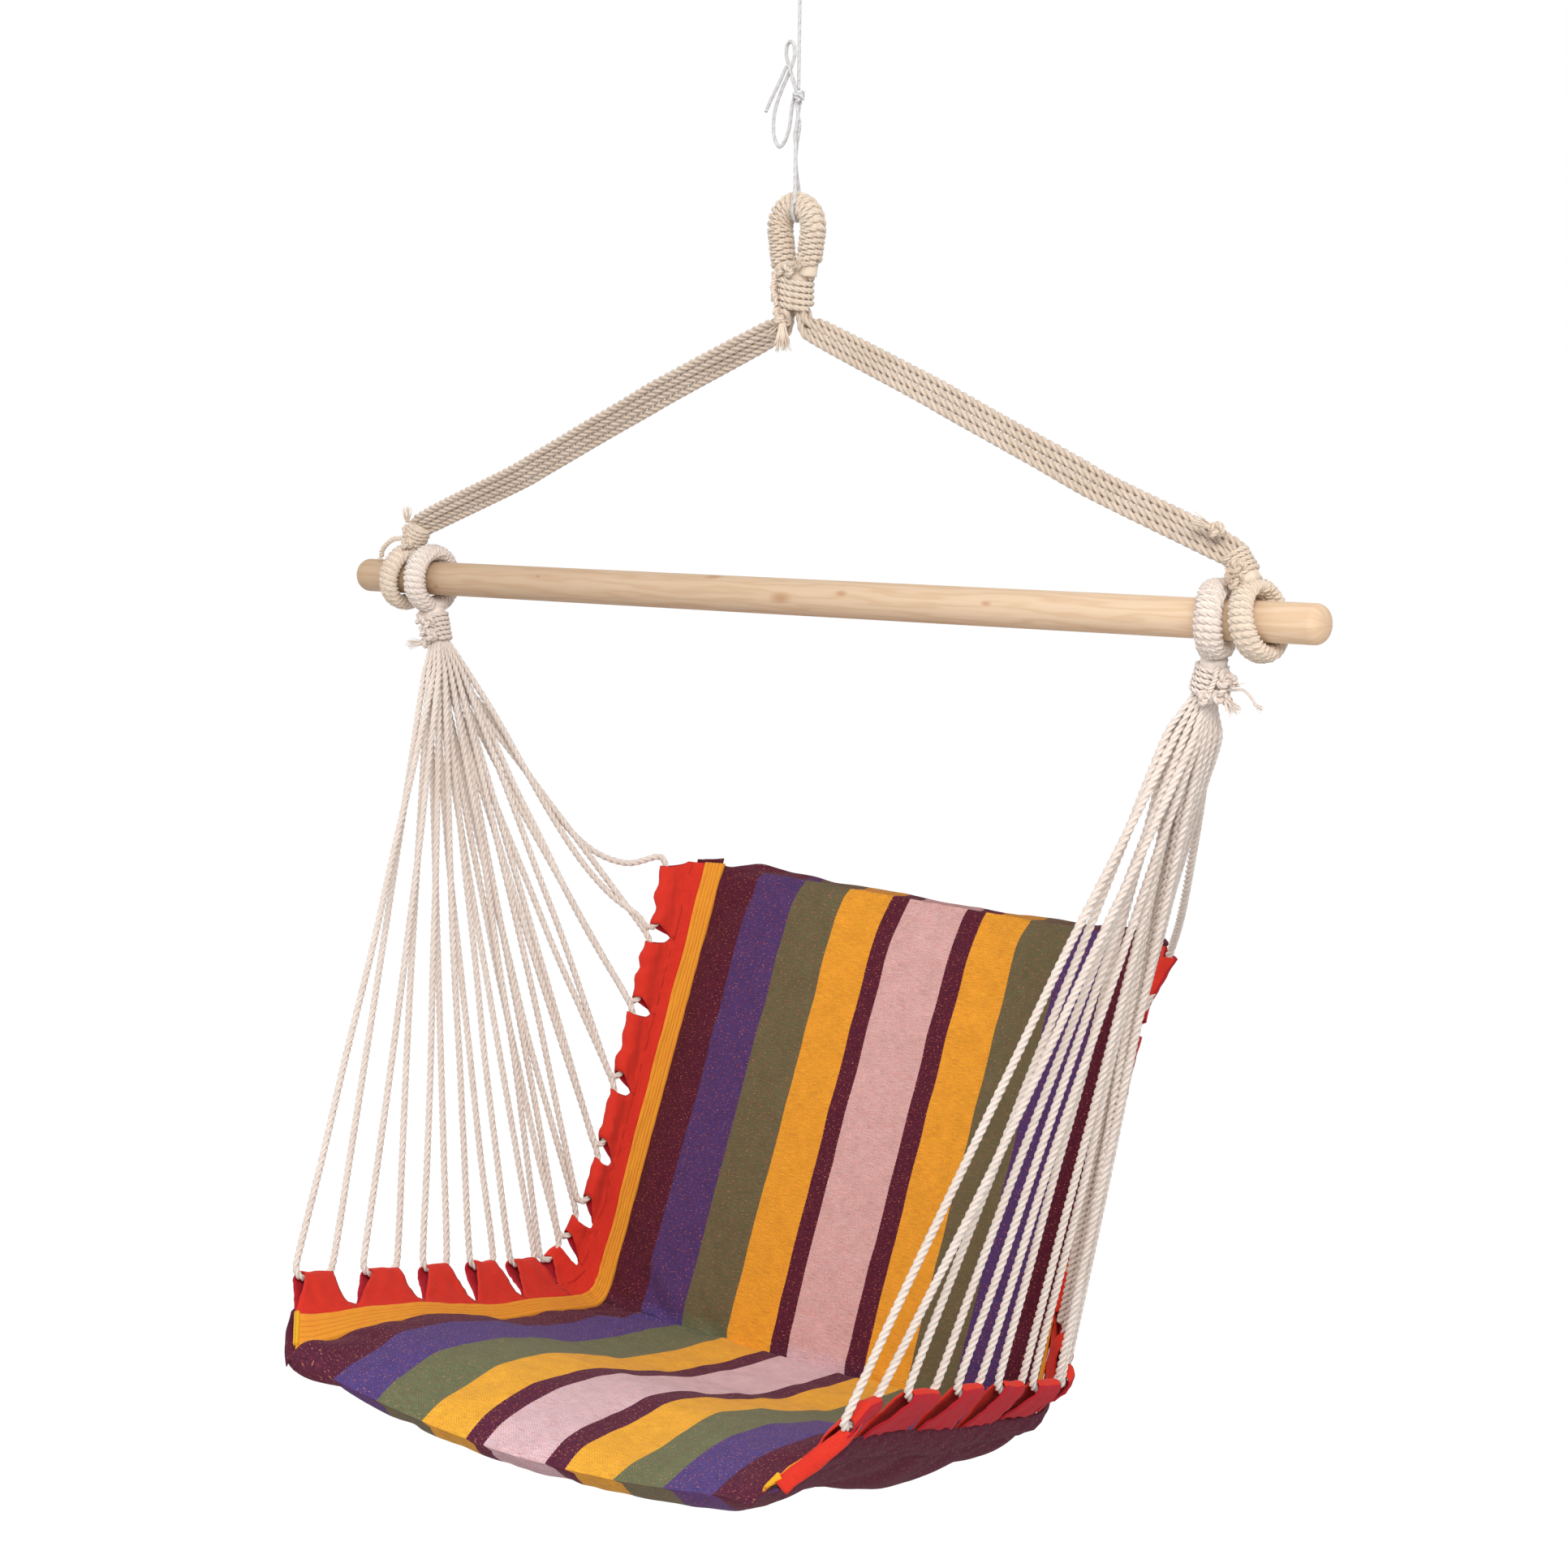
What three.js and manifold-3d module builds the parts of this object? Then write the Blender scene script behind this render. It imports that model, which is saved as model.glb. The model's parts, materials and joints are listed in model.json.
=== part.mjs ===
// Hammock chair that hangs from one rope eye: a line and knot, a whipped eye, two rope legs, a round
// wooden bar in four whipped rope rings, two fans of seat cords and a padded striped seat with laced sides.
// Millimetres, +Z up, +X along the bar. The origin is where the line's top loop bears on what holds it up.
import * as THREE from 'three';
import * as BufferGeometryUtils from 'three/addons/utils/BufferGeometryUtils.js';
import Module from 'manifold-3d';

const wasm = await Module();
wasm.setup();

// Clearances
const restGap = 0.3; // between pieces that touch on the real chair
const clothGap = 0.5; // between the cloths and what lies under them
const slideGap = 0.45; // between a whipping and the flats of its core
const runGap = 0.4; // between the bar and the rings that it turns in
const overrun = 1; // a cut runs this far past the faces that it goes through

// Bar
const barRadius = 14;
const barLeftEnd = 497; // from the eye's plumb line to the bar's tip
const barRightEnd = 472;
const barDomeRise = 9;
const barTilt = THREE.MathUtils.degToRad(2.24); // the right end hangs higher

// Line that the chair hangs on
const lineDiameter = 2.8;
const topKnotDrop = 36; // just above the photographed stretch
const topKnotRadius = 3.6;
const topLoopWidth = 13;
const knotDrop = 111.5;
const knotRadius = 5;
const knotAboveEye = 69.65; // from the eye's top to the knot
const bightJoinRise = 20; // the doubled line parts this far above the eye's top

// Whipped eye
const eyeWidth = 33; // between the middles of its two arms
const eyeArchRise = 277; // middle of the arch above the bar
const eyeArmLength = 27;
const eyeArmLean = THREE.MathUtils.degToRad(9.2);
const eyeRopeRadius = 10.35; // outside of the whipping
const whippingDiameter = 4.2;
const neckPitch = 5; // of the turns round a neck
const eyeArmTurns = 4;
const eyeArchTurns = 6;
const eyeNeckTopDrop = 34; // the neck's top below the middle of the arch
const eyeNeckLength = 26;
const eyeNeckRadius = 10.4;
const eyeNeckTurns = 3;
const eyeFootDepth = 3; // how far the arms' cores run below the neck's top
const crotchDepth = 15;
const crotchHeight = 15;
const crotchReach = 15; // from the plumb line to the faces that the legs start on
const tailKnotRadius = 6.5;
const tailLength = 20;
const tailRadius = 3.4;
const tailSpread = 4.6;
const tailDriftShare = 0.25; // how far the tail leans aside, of its length

// From the origin down to the bar's axis
const barDrop = knotDrop + knotAboveEye + eyeRopeRadius + eyeWidth / 2 + eyeArchRise;

// Rope legs
const cordDiameter = 5.5;
const legStrands = 4;
const legStrandPitch = 6.3;
const legEndPitch = 7;
const legStraight = 14; // straight run at each end of a strand
const legTwist = THREE.MathUtils.degToRad(53); // of the flat run of strands, from level to upright

// Rings on the bar
const hangerRing = {
  band: 18, thick: 12.6, cord: 4.2, turns: 14, slack: 1.2, neckRadius: 6.6, neckLength: 27, neckTurns: 3,
};
const seatRing = {
  band: 21, thick: 12.6, cord: 4.2, turns: 14, slack: 1.2, neckRadius: 7.8, neckLength: 32, neckTurns: 4,
};
const hangerLean = THREE.MathUtils.degToRad(12);
const hangerNeckLean = THREE.MathUtils.degToRad(35);
const leftHangerPlace = -440; // along the bar
const rightHangerPlace = 419;
const leftSeatRingPlace = -411;
const rightSeatRingPlace = 385;
const leftSeatRingTurn = THREE.MathUtils.degToRad(10);
const rightSeatRingTurn = THREE.MathUtils.degToRad(20);
const whippingSweepShare = 0.8; // how much of a ring's round its whipping covers
const boreReachShare = 0.25; // of the band's width, how far its bore runs flat to each side

// Fans of seat cords
const fanColumns = 4;
const fanRows = 6;
const fanPitch = 6.7;
const flareLength = 30;
const flareNarrowShare = 0.9; // of the neck's radius, where the flare leaves it
const flareWaistPlaceShare = 1 / 3; // down the flare
const flareWaistAcrossShare = 0.66; // of the fan's size there
const flareWaistAlongShare = 0.5;
const cordBend = 3;
const turnBackCosine = 0.31; // a cord that rises closer to its tab than this
const standOff = 9; // first steps this far to the sitter's side of the tunnel
const columnOrder = [1, 3, 0, 2]; // the fan's columns for the four cords of two bights, inner side first

// Seat, in its own frame: x across, y back, z up from the bar's middle
const seatTurn = 0.0963;
const seatRoll = 0.0152;
const padHalfWidth = 212;
const seatDepth = 364; // level, from the crease to the front edge
const seatSlope = 46; // the front edge lies this far above the crease
const creaseBack = 51; // behind the bar's middle
const creaseDrop = 625;
const backHeight = 357;
const backLean = 152; // the back's top lies this far behind the crease
const creaseRadius = 22;
const creaseGap = 5;
const padRim = 14;
const crownAbove = 5;
const crownBelow = 7;
const seatSag = 8; // how far the middle hangs below the sides
const backSagShare = 0.5; // of that, at the top of the back
const seatLift = 18; // the front part bulges up this far above a straight seat
// Places of that bulge, measured from the front edge: where it begins, is full, leaves and has ended
const liftStart = -19;
const liftFull = 36;
const liftLeave = 100;
const liftEnd = 225;
const clothThickness = 1;
const trayFlare = 0.8;
// The cords' bights run in the hems, out from the pads' edges, above them and short of their ends
const laceReach = 45;
const laceFrontInset = 43;
const laceFrontRise = 59;
const laceCreaseInset = 1;
const laceCreaseRise = 31;
const laceTopInset = 25;
const laceTopRise = 6;
const laceRadius = 22;

// Laced hems
const hemThickness = 2.2;
const tunnelRadius = 5.4;
const tunnelBoreRadius = 3.9;
const tunnelSetback = 5.2; // the tunnel's mouth from the cord that turns up beside it
const tabInset = 1.5;
const borderShare = 0.42; // of the way from the pad's edge to the lacing
const bandStartShare = 0.1;
const bandEndShare = 0.56;
const tabRootShare = 0.5;
// Where each bight's two cords leave the hem, along the lacing from the front corner to the back's top
const bightShares = [
  [0.0, 0.057], [0.114, 0.171], [0.216, 0.263], [0.304, 0.352], [0.382, 0.434], [0.452, 0.48],
  [0.496, 0.523], [0.546, 0.602], [0.624, 0.69], [0.712, 0.788], [0.808, 0.886], [0.906, 0.994],
];

// Faceting
const coreSides = 8;
const lineSides = 8;
const neckSides = 10;
const eyeNeckSides = 12;
const knotSides = 10;
const knotRings = 8;
const flareSides = 12;
const windingSides = 5;
const barSides = 20;
const ringSteps = 16;
const eyeSteps = 16;
const turnSteps = 8;
const cordSides = 6;
const hemSides = 5;
const fine = Math.cos(Math.PI / turnSteps);

// Finishes
const cotton = new THREE.MeshStandardMaterial({ color: 0xded0b6, roughness: 0.95, metalness: 0 });
const whiteCotton = new THREE.MeshStandardMaterial({ color: 0xebe4da, roughness: 0.95, metalness: 0 });
const lineWhite = new THREE.MeshStandardMaterial({ color: 0xf2f0ee, roughness: 0.7, metalness: 0 });
const paleWood = new THREE.MeshStandardMaterial({ color: 0xe6c79c, roughness: 0.55, metalness: 0 });
const stripedCloth = new THREE.MeshStandardMaterial({ color: 0xefa01e, roughness: 0.95, metalness: 0 });
const underCloth = new THREE.MeshStandardMaterial({ color: 0x73263d, roughness: 0.95, metalness: 0 });
const redCloth = new THREE.MeshStandardMaterial({ color: 0xe23826, roughness: 0.9, metalness: 0 });
const wadding = new THREE.MeshStandardMaterial({ color: 0xf0eee8, roughness: 1, metalness: 0 });

const chair = new THREE.Group();
const xAxis = new THREE.Vector3(1, 0, 0);
const yAxis = new THREE.Vector3(0, 1, 0);
const zAxis = new THREE.Vector3(0, 0, 1);
const vec = (x, y, z) => new THREE.Vector3(x, y, z);
const mix = THREE.MathUtils.lerp;
const sharesFrom = (count) => Array.from({ length: count + 1 }, (_, i) => i / count);

// Point reached from a start by steps along directions: at(start, [direction, length], ...)
function at(start, ...moves) {
  const point = start.clone();
  for (const [direction, length] of moves) point.addScaledVector(direction, length);
  return point;
}

function bodyFrom(positions, index) {
  let geometry = new THREE.BufferGeometry();
  geometry.setAttribute('position', new THREE.Float32BufferAttribute(positions, 3));
  geometry.setIndex(index);
  geometry = BufferGeometryUtils.mergeVertices(geometry);
  const corners = geometry.index.array;
  const p = geometry.attributes.position;
  const [a, b, c] = [vec(), vec(), vec()];
  let volume = 0;
  for (let i = 0; i < corners.length; i += 3) {
    a.fromBufferAttribute(p, corners[i]);
    b.fromBufferAttribute(p, corners[i + 1]);
    c.fromBufferAttribute(p, corners[i + 2]);
    volume += a.dot(b.cross(c));
  }
  if (volume < 0) {
    for (let i = 0; i < corners.length; i += 3) {
      [corners[i + 1], corners[i + 2]] = [corners[i + 2], corners[i + 1]];
    }
  }
  geometry.computeVertexNormals();
  return geometry;
}

// Joins rows of points, one row a section, into one closed body
function skin(rows, closed = false) {
  const sides = rows[0].length;
  const index = [];
  const corner = (row, side) => (row % rows.length) * sides + (side % sides);
  for (let i = 0; i < (closed ? rows.length : rows.length - 1); i++) {
    for (let j = 0; j < sides; j++) {
      index.push(corner(i, j), corner(i, j + 1), corner(i + 1, j + 1));
      index.push(corner(i, j), corner(i + 1, j + 1), corner(i + 1, j));
    }
  }
  if (!closed) {
    const last = rows.length - 1;
    for (let j = 1; j < sides - 1; j++) {
      index.push(corner(0, 0), corner(0, j + 1), corner(0, j));
      index.push(corner(last, 0), corner(last, j), corner(last, j + 1));
    }
  }
  return bodyFrom(rows.flat().flatMap((p) => [p.x, p.y, p.z]), index);
}

// Closes the space between an upper and a lower sheet of points that match row for row
function slab(upper, lower) {
  const [rows, columns] = [upper.length, upper[0].length];
  const index = [];
  const top = (i, j) => i * columns + j;
  const under = (i, j) => rows * columns + i * columns + j;
  const quad = (a, b, c, d) => index.push(a, b, c, a, c, d);
  for (let i = 0; i < rows - 1; i++) {
    for (let j = 0; j < columns - 1; j++) {
      quad(top(i, j), top(i, j + 1), top(i + 1, j + 1), top(i + 1, j));
      quad(under(i, j), under(i + 1, j), under(i + 1, j + 1), under(i, j + 1));
    }
    quad(top(i, 0), top(i + 1, 0), under(i + 1, 0), under(i, 0));
    quad(top(i + 1, columns - 1), top(i, columns - 1), under(i, columns - 1), under(i + 1, columns - 1));
  }
  for (let j = 0; j < columns - 1; j++) {
    quad(top(0, j + 1), top(0, j), under(0, j), under(0, j + 1));
    quad(top(rows - 1, j), top(rows - 1, j + 1), under(rows - 1, j + 1), under(rows - 1, j));
  }
  return bodyFrom([...upper.flat(), ...lower.flat()].flatMap((p) => [p.x, p.y, p.z]), index);
}

function tangentAt(points, i, closed) {
  const count = points.length;
  const before = closed ? points[(i + count - 1) % count] : points[Math.max(i - 1, 0)];
  const after = closed ? points[(i + 1) % count] : points[Math.min(i + 1, count - 1)];
  const back = points[i].clone().sub(before).normalize();
  const on = after.clone().sub(points[i]).normalize();
  return back.add(on).normalize();
}

// Round tube through points, its section carried along without twist
function tube(points, radius, sides, radiusAt = () => radius) {
  let side = Math.abs(tangentAt(points, 0).z) > 0.9 ? xAxis.clone() : zAxis.clone();
  const rows = points.map((point, i) => {
    const tangent = tangentAt(points, i);
    side = side.clone().addScaledVector(tangent, -side.dot(tangent)).normalize();
    const other = tangent.clone().cross(side);
    return Array.from({ length: sides }, (_, k) => {
      const angle = (2 * Math.PI * k) / sides;
      const r = radiusAt(i);
      return at(point, [side, r * Math.cos(angle)], [other, r * Math.sin(angle)]);
    });
  });
  return skin(rows);
}

// Sweeps an oval section along frames of a middle point, an outward and a sideways direction
function ovalSweep(frames, halfThick, halfBand, closed) {
  const rows = frames.map(({ point, out, side }) => Array.from({ length: coreSides }, (_, k) => {
    const angle = (2 * Math.PI * (k + 0.5)) / coreSides;
    return at(point, [out, halfThick * Math.cos(angle)], [side, halfBand * Math.sin(angle)]);
  }));
  return skin(rows, closed);
}

// Least distance between the surfaces of two passes of one wound tube
function selfGap(points, diameter, neighbours) {
  let least = Infinity;
  for (let i = 0; i < points.length - 1; i++) {
    const here = points[i].clone().add(points[i + 1]).multiplyScalar(0.5);
    for (let j = i + neighbours; j < points.length - 1; j++) {
      const line = new THREE.Line3(points[j], points[j + 1]);
      least = Math.min(least, line.closestPointToPoint(here, true, vec()).distanceTo(here));
    }
  }
  return least - diameter;
}

// One cord wound round a core: frameAt(share) gives the core's middle and directions
function winding(name, frameAt, halfThick, halfBand, diameter, turns) {
  const points = [];
  const count = turns * turnSteps;
  for (let k = 0; k <= count; k++) {
    const { point, out, side } = frameAt(k / count);
    const angle = (2 * Math.PI * (k + 0.5)) / turnSteps;
    const [outward, sideways] = [(halfThick / fine) * Math.cos(angle), (halfBand / fine) * Math.sin(angle)];
    points.push(at(point, [out, outward], [side, sideways]));
  }
  const startRun = points[0].clone().sub(points[1]).setLength(diameter);
  const endRun = points.at(-1).clone().sub(points.at(-2)).setLength(diameter);
  points.unshift(points[0].clone().add(startRun));
  points.push(points.at(-1).clone().add(endRun));
  const gap = selfGap(points, diameter, turnSteps - 2);
  console.log(`${name}: ${turns} turns, least gap to itself ${gap.toFixed(2)} mm`);
  return tube(points, diameter / 2, windingSides);
}

function manifoldOf(geometry) {
  const plain = geometry.clone();
  for (const name of Object.keys(plain.attributes)) if (name !== 'position') plain.deleteAttribute(name);
  const merged = BufferGeometryUtils.mergeVertices(plain);
  return new wasm.Manifold(new wasm.Mesh({
    numProp: 3,
    vertProperties: new Float32Array(merged.attributes.position.array),
    triVerts: new Uint32Array(merged.index.array),
  }));
}

function geometryOf(manifold) {
  const mesh = manifold.getMesh();
  const geometry = new THREE.BufferGeometry();
  geometry.setAttribute('position', new THREE.Float32BufferAttribute(Array.from(mesh.vertProperties), 3));
  geometry.setIndex(Array.from(mesh.triVerts));
  geometry.computeVertexNormals();
  return geometry;
}

function joined(...geometries) {
  return geometryOf(geometries.map(manifoldOf).reduce((all, next) => all.add(next)));
}

function place(name, geometry, material, group = chair) {
  const mesh = new THREE.Mesh(geometry, material);
  mesh.name = name;
  group.add(mesh);
  return mesh;
}

// Straight round rod between two points
function rod(from, to, radius, sides, endRadius = radius) {
  return tube([from, to], radius, sides, (i) => (i === 0 ? radius : endRadius));
}

// Places along the tilted bar
const barMiddle = vec(0, 0, -barDrop);
const barAxis = vec(Math.cos(barTilt), 0, Math.sin(barTilt));
const barUp = vec(-Math.sin(barTilt), 0, Math.cos(barTilt));
const onBar = (along) => at(barMiddle, [barAxis, along]);

function addBar() {
  const profile = [new THREE.Vector2(0, -barLeftEnd)];
  const domePoints = 4;
  const domeAt = (i) => {
    const angle = (Math.PI / 2) * (i / domePoints);
    return [barRadius * Math.sin(angle), barDomeRise * (1 - Math.cos(angle))];
  };
  for (let i = 1; i <= domePoints; i++) {
    const [radius, rise] = domeAt(i);
    profile.push(new THREE.Vector2(radius, -barLeftEnd + rise));
  }
  for (let i = domePoints; i > 0; i--) {
    const [radius, rise] = domeAt(i);
    profile.push(new THREE.Vector2(radius, barRightEnd - rise));
  }
  profile.push(new THREE.Vector2(0, barRightEnd));
  const bar = place('bar', new THREE.LatheGeometry(profile, barSides), paleWood);
  bar.quaternion.setFromUnitVectors(yAxis, barAxis);
  bar.position.copy(barMiddle);
}

// The thin line: a top loop over a knot, one taut run, a knot with a slipped bow, and a bight in the eye
function addLine() {
  const radius = lineDiameter / 2;
  const topKnot = vec(0, 0, -topKnotDrop);
  const half = topLoopWidth / 2;
  const loopMiddle = radius - half;
  const loop = [topKnot.clone().add(vec(-radius, 0, 0))];
  const loopSteps = 8;
  for (let i = 0; i <= loopSteps; i++) {
    const angle = Math.PI * (1 - i / loopSteps);
    loop.push(vec(half * Math.cos(angle), 0, loopMiddle + half * Math.sin(angle)));
  }
  loop.push(topKnot.clone().add(vec(radius, 0, 0)));
  const ball = new THREE.SphereGeometry(topKnotRadius, knotSides, knotRings);
  ball.translate(topKnot.x, topKnot.y, topKnot.z);
  place('line_top_loop', joined(tube(loop, radius, lineSides), ball), lineWhite);

  const runTop = vec(0, 0, -topKnotDrop - topKnotRadius - restGap);
  const runEnd = vec(0, 0, -knotDrop + knotRadius + restGap);
  place('line_run', rod(runTop, runEnd, radius, lineSides), lineWhite);

  // The bow's route in the plane of the bar, from the knot round its short and its long loop and back
  const knot = vec(0, 0, -knotDrop);
  const bowRoute = [
    [-1.5, 0.8, 1], [-5.5, 1.6, 8], [-10.5, 1.6, 20], [-14, 1.6, 30], [-12, 1, 37.5], [-8.5, 0, 39.5],
    [-5.2, -1, 36], [-5.6, -1.6, 28], [-9.5, -1.6, 17], [-15.5, -1.6, 4], [-22, -1.2, -10], [-24.5, 0, -23],
    [-23, 0.5, -32], [-19, 0.6, -37.5], [-13.5, 0.6, -33], [-9, 0.4, -23], [-6.8, 0, -12], [-4, -0.8, -3],
  ].map(([x, y, z]) => knot.clone().add(vec(x, y, z)));
  const tailRoute = [[-2, 0, 2.6], [-9, 3.4, 3], [-17, 3.6, 1], [-24, 3.6, -6], [-28.5, 3.6, -12]]
    .map(([x, y, z]) => knot.clone().add(vec(x, y, z)));
  const knotBall = new THREE.SphereGeometry(knotRadius, knotSides, knotRings);
  knotBall.translate(knot.x, knot.y, knot.z);
  const [bow, tail] = [bowRoute, tailRoute].map((route) => tube(route, radius, cordSides));
  place('line_knot', joined(knotBall, bow, tail), lineWhite);

  const archTop = vec(0, 0, -barDrop + eyeArchRise + eyeWidth / 2);
  const envelope = (eyeRopeRadius - whippingDiameter / 2) / fine + whippingDiameter / 2;
  const round = envelope + slideGap + radius;
  const apart = radius + restGap / 2;
  const join = archTop.z + envelope + bightJoinRise;
  const leave = Math.asin((round - apart) / (join - archTop.z));
  const bight = [vec(0, -apart, -knotDrop - knotRadius - restGap), vec(0, -apart, join)];
  const bendSteps = 10;
  for (let i = 0; i <= bendSteps; i++) {
    const angle = mix(Math.PI - leave, 2 * Math.PI + leave, i / bendSteps);
    bight.push(vec(0, round * Math.cos(angle), archTop.z + round * Math.sin(angle)));
  }
  bight.push(vec(0, apart, join), vec(0, apart, -knotDrop - knotRadius - restGap));
  place('line_bight', tube(bight, radius, lineSides), lineWhite);
}

// The eye's middle line: up one arm, over the arch and down the other, in the plane of the bar
const archMiddle = vec(0, 0, -barDrop + eyeArchRise);
const archSweep = Math.PI + 2 * eyeArmLean;
const archLength = (archSweep * eyeWidth) / 2;
const eyeLength = archLength + 2 * eyeArmLength;

function eyeFrame(length) {
  const onArch = THREE.MathUtils.clamp((length - eyeArmLength) / archLength, 0, 1);
  const angle = mix(Math.PI + eyeArmLean, -eyeArmLean, onArch);
  const out = vec(Math.cos(angle), 0, Math.sin(angle));
  const run = vec(Math.sin(angle), 0, -Math.cos(angle));
  const past = length - eyeArmLength - onArch * archLength;
  return { point: at(archMiddle, [out, eyeWidth / 2], [run, past]), out, side: yAxis };
}

const eyeNeckBottom = -barDrop + eyeArchRise - eyeNeckTopDrop - eyeNeckLength;

// Directions of the two legs in the plane of the bar, from the eye's crotch down to the hanger rings
const crotch = vec(0, 0, eyeNeckBottom - crotchHeight / 2);
const legSides = [
  { side: 'left', sign: -1, along: leftHangerPlace },
  { side: 'right', sign: 1, along: rightHangerPlace },
];

const ringHalf = (ring) => ({
  thick: ring.thick / 2 - ring.cord / 2,
  band: ring.band / 2 - ring.cord / 2,
});

// Frame round a ring: turned about the bar's upright, leaned along the bar, slack to one side
function ringShape(ring, along, turn, lean, slackSign) {
  const across = yAxis.clone().multiplyScalar(Math.cos(turn)).addScaledVector(barAxis, -Math.sin(turn));
  const rise = barUp.clone().multiplyScalar(Math.cos(lean)).addScaledVector(barAxis, Math.sin(lean));
  const side = across.clone().cross(rise);
  const open = barRadius + runGap + ring.slack;
  const flat = ring.band * boreReachShare;
  const halfAcross = open / Math.cos(turn) + flat * Math.tan(Math.abs(turn)) + ring.thick / 2;
  const halfRise = open / Math.cos(lean) + flat * Math.tan(Math.abs(lean)) + ring.thick / 2;
  const middle = at(onBar(along), [barUp, slackSign * ring.slack]);
  const frameAt = (angle) => {
    const point = at(middle, [across, halfAcross * Math.cos(angle)], [rise, halfRise * Math.sin(angle)]);
    const out = vec(0, 0, 0)
      .addScaledVector(across, halfRise * Math.cos(angle))
      .addScaledVector(rise, halfAcross * Math.sin(angle))
      .normalize();
    return { point, out, side };
  };
  return { frameAt, middle, rise, halfRise };
}

function ringCore(ring, shape, neckStart, neckDirection, extras = []) {
  const half = ringHalf(ring);
  const shrink = ring.cord / 2 + slideGap;
  const frames = Array.from({ length: ringSteps }, (_, i) => shape.frameAt((2 * Math.PI * i) / ringSteps));
  const hoop = ovalSweep(frames, half.thick - shrink, half.band - shrink, true);
  const neckEnd = at(neckStart, [neckDirection, ring.neckLength]);
  return joined(hoop, rod(neckStart, neckEnd, ring.neckRadius, neckSides), ...extras);
}

function ringWinding(name, ring, shape, neckAngle) {
  const half = ringHalf(ring);
  const gapAngle = Math.PI * (1 - whippingSweepShare);
  const frameAt = (share) => shape.frameAt(neckAngle + mix(gapAngle, 2 * Math.PI - gapAngle, share));
  return winding(name, frameAt, half.thick, half.band, ring.cord, ring.turns);
}

// Turns round a ring's neck, clear of the ring's own whipping
function neckWinding(name, start, direction, radius, cord, turns, from, to) {
  const out = vec(0, 1, 0).addScaledVector(direction, -direction.y).normalize();
  const side = direction.clone().cross(out);
  const half = radius + slideGap + cord / 2;
  const frameAt = (share) => ({ point: at(start, [direction, mix(from, to, share)]), out, side });
  return winding(name, frameAt, half, half, cord, turns);
}

function ringNeckWinding(name, ring, start, direction) {
  const from = ring.thick / 2 + ring.cord / 2 + restGap;
  const to = ring.neckLength - ring.cord / 2;
  return neckWinding(name, start, direction, ring.neckRadius, ring.cord, ring.neckTurns, from, to);
}

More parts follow.
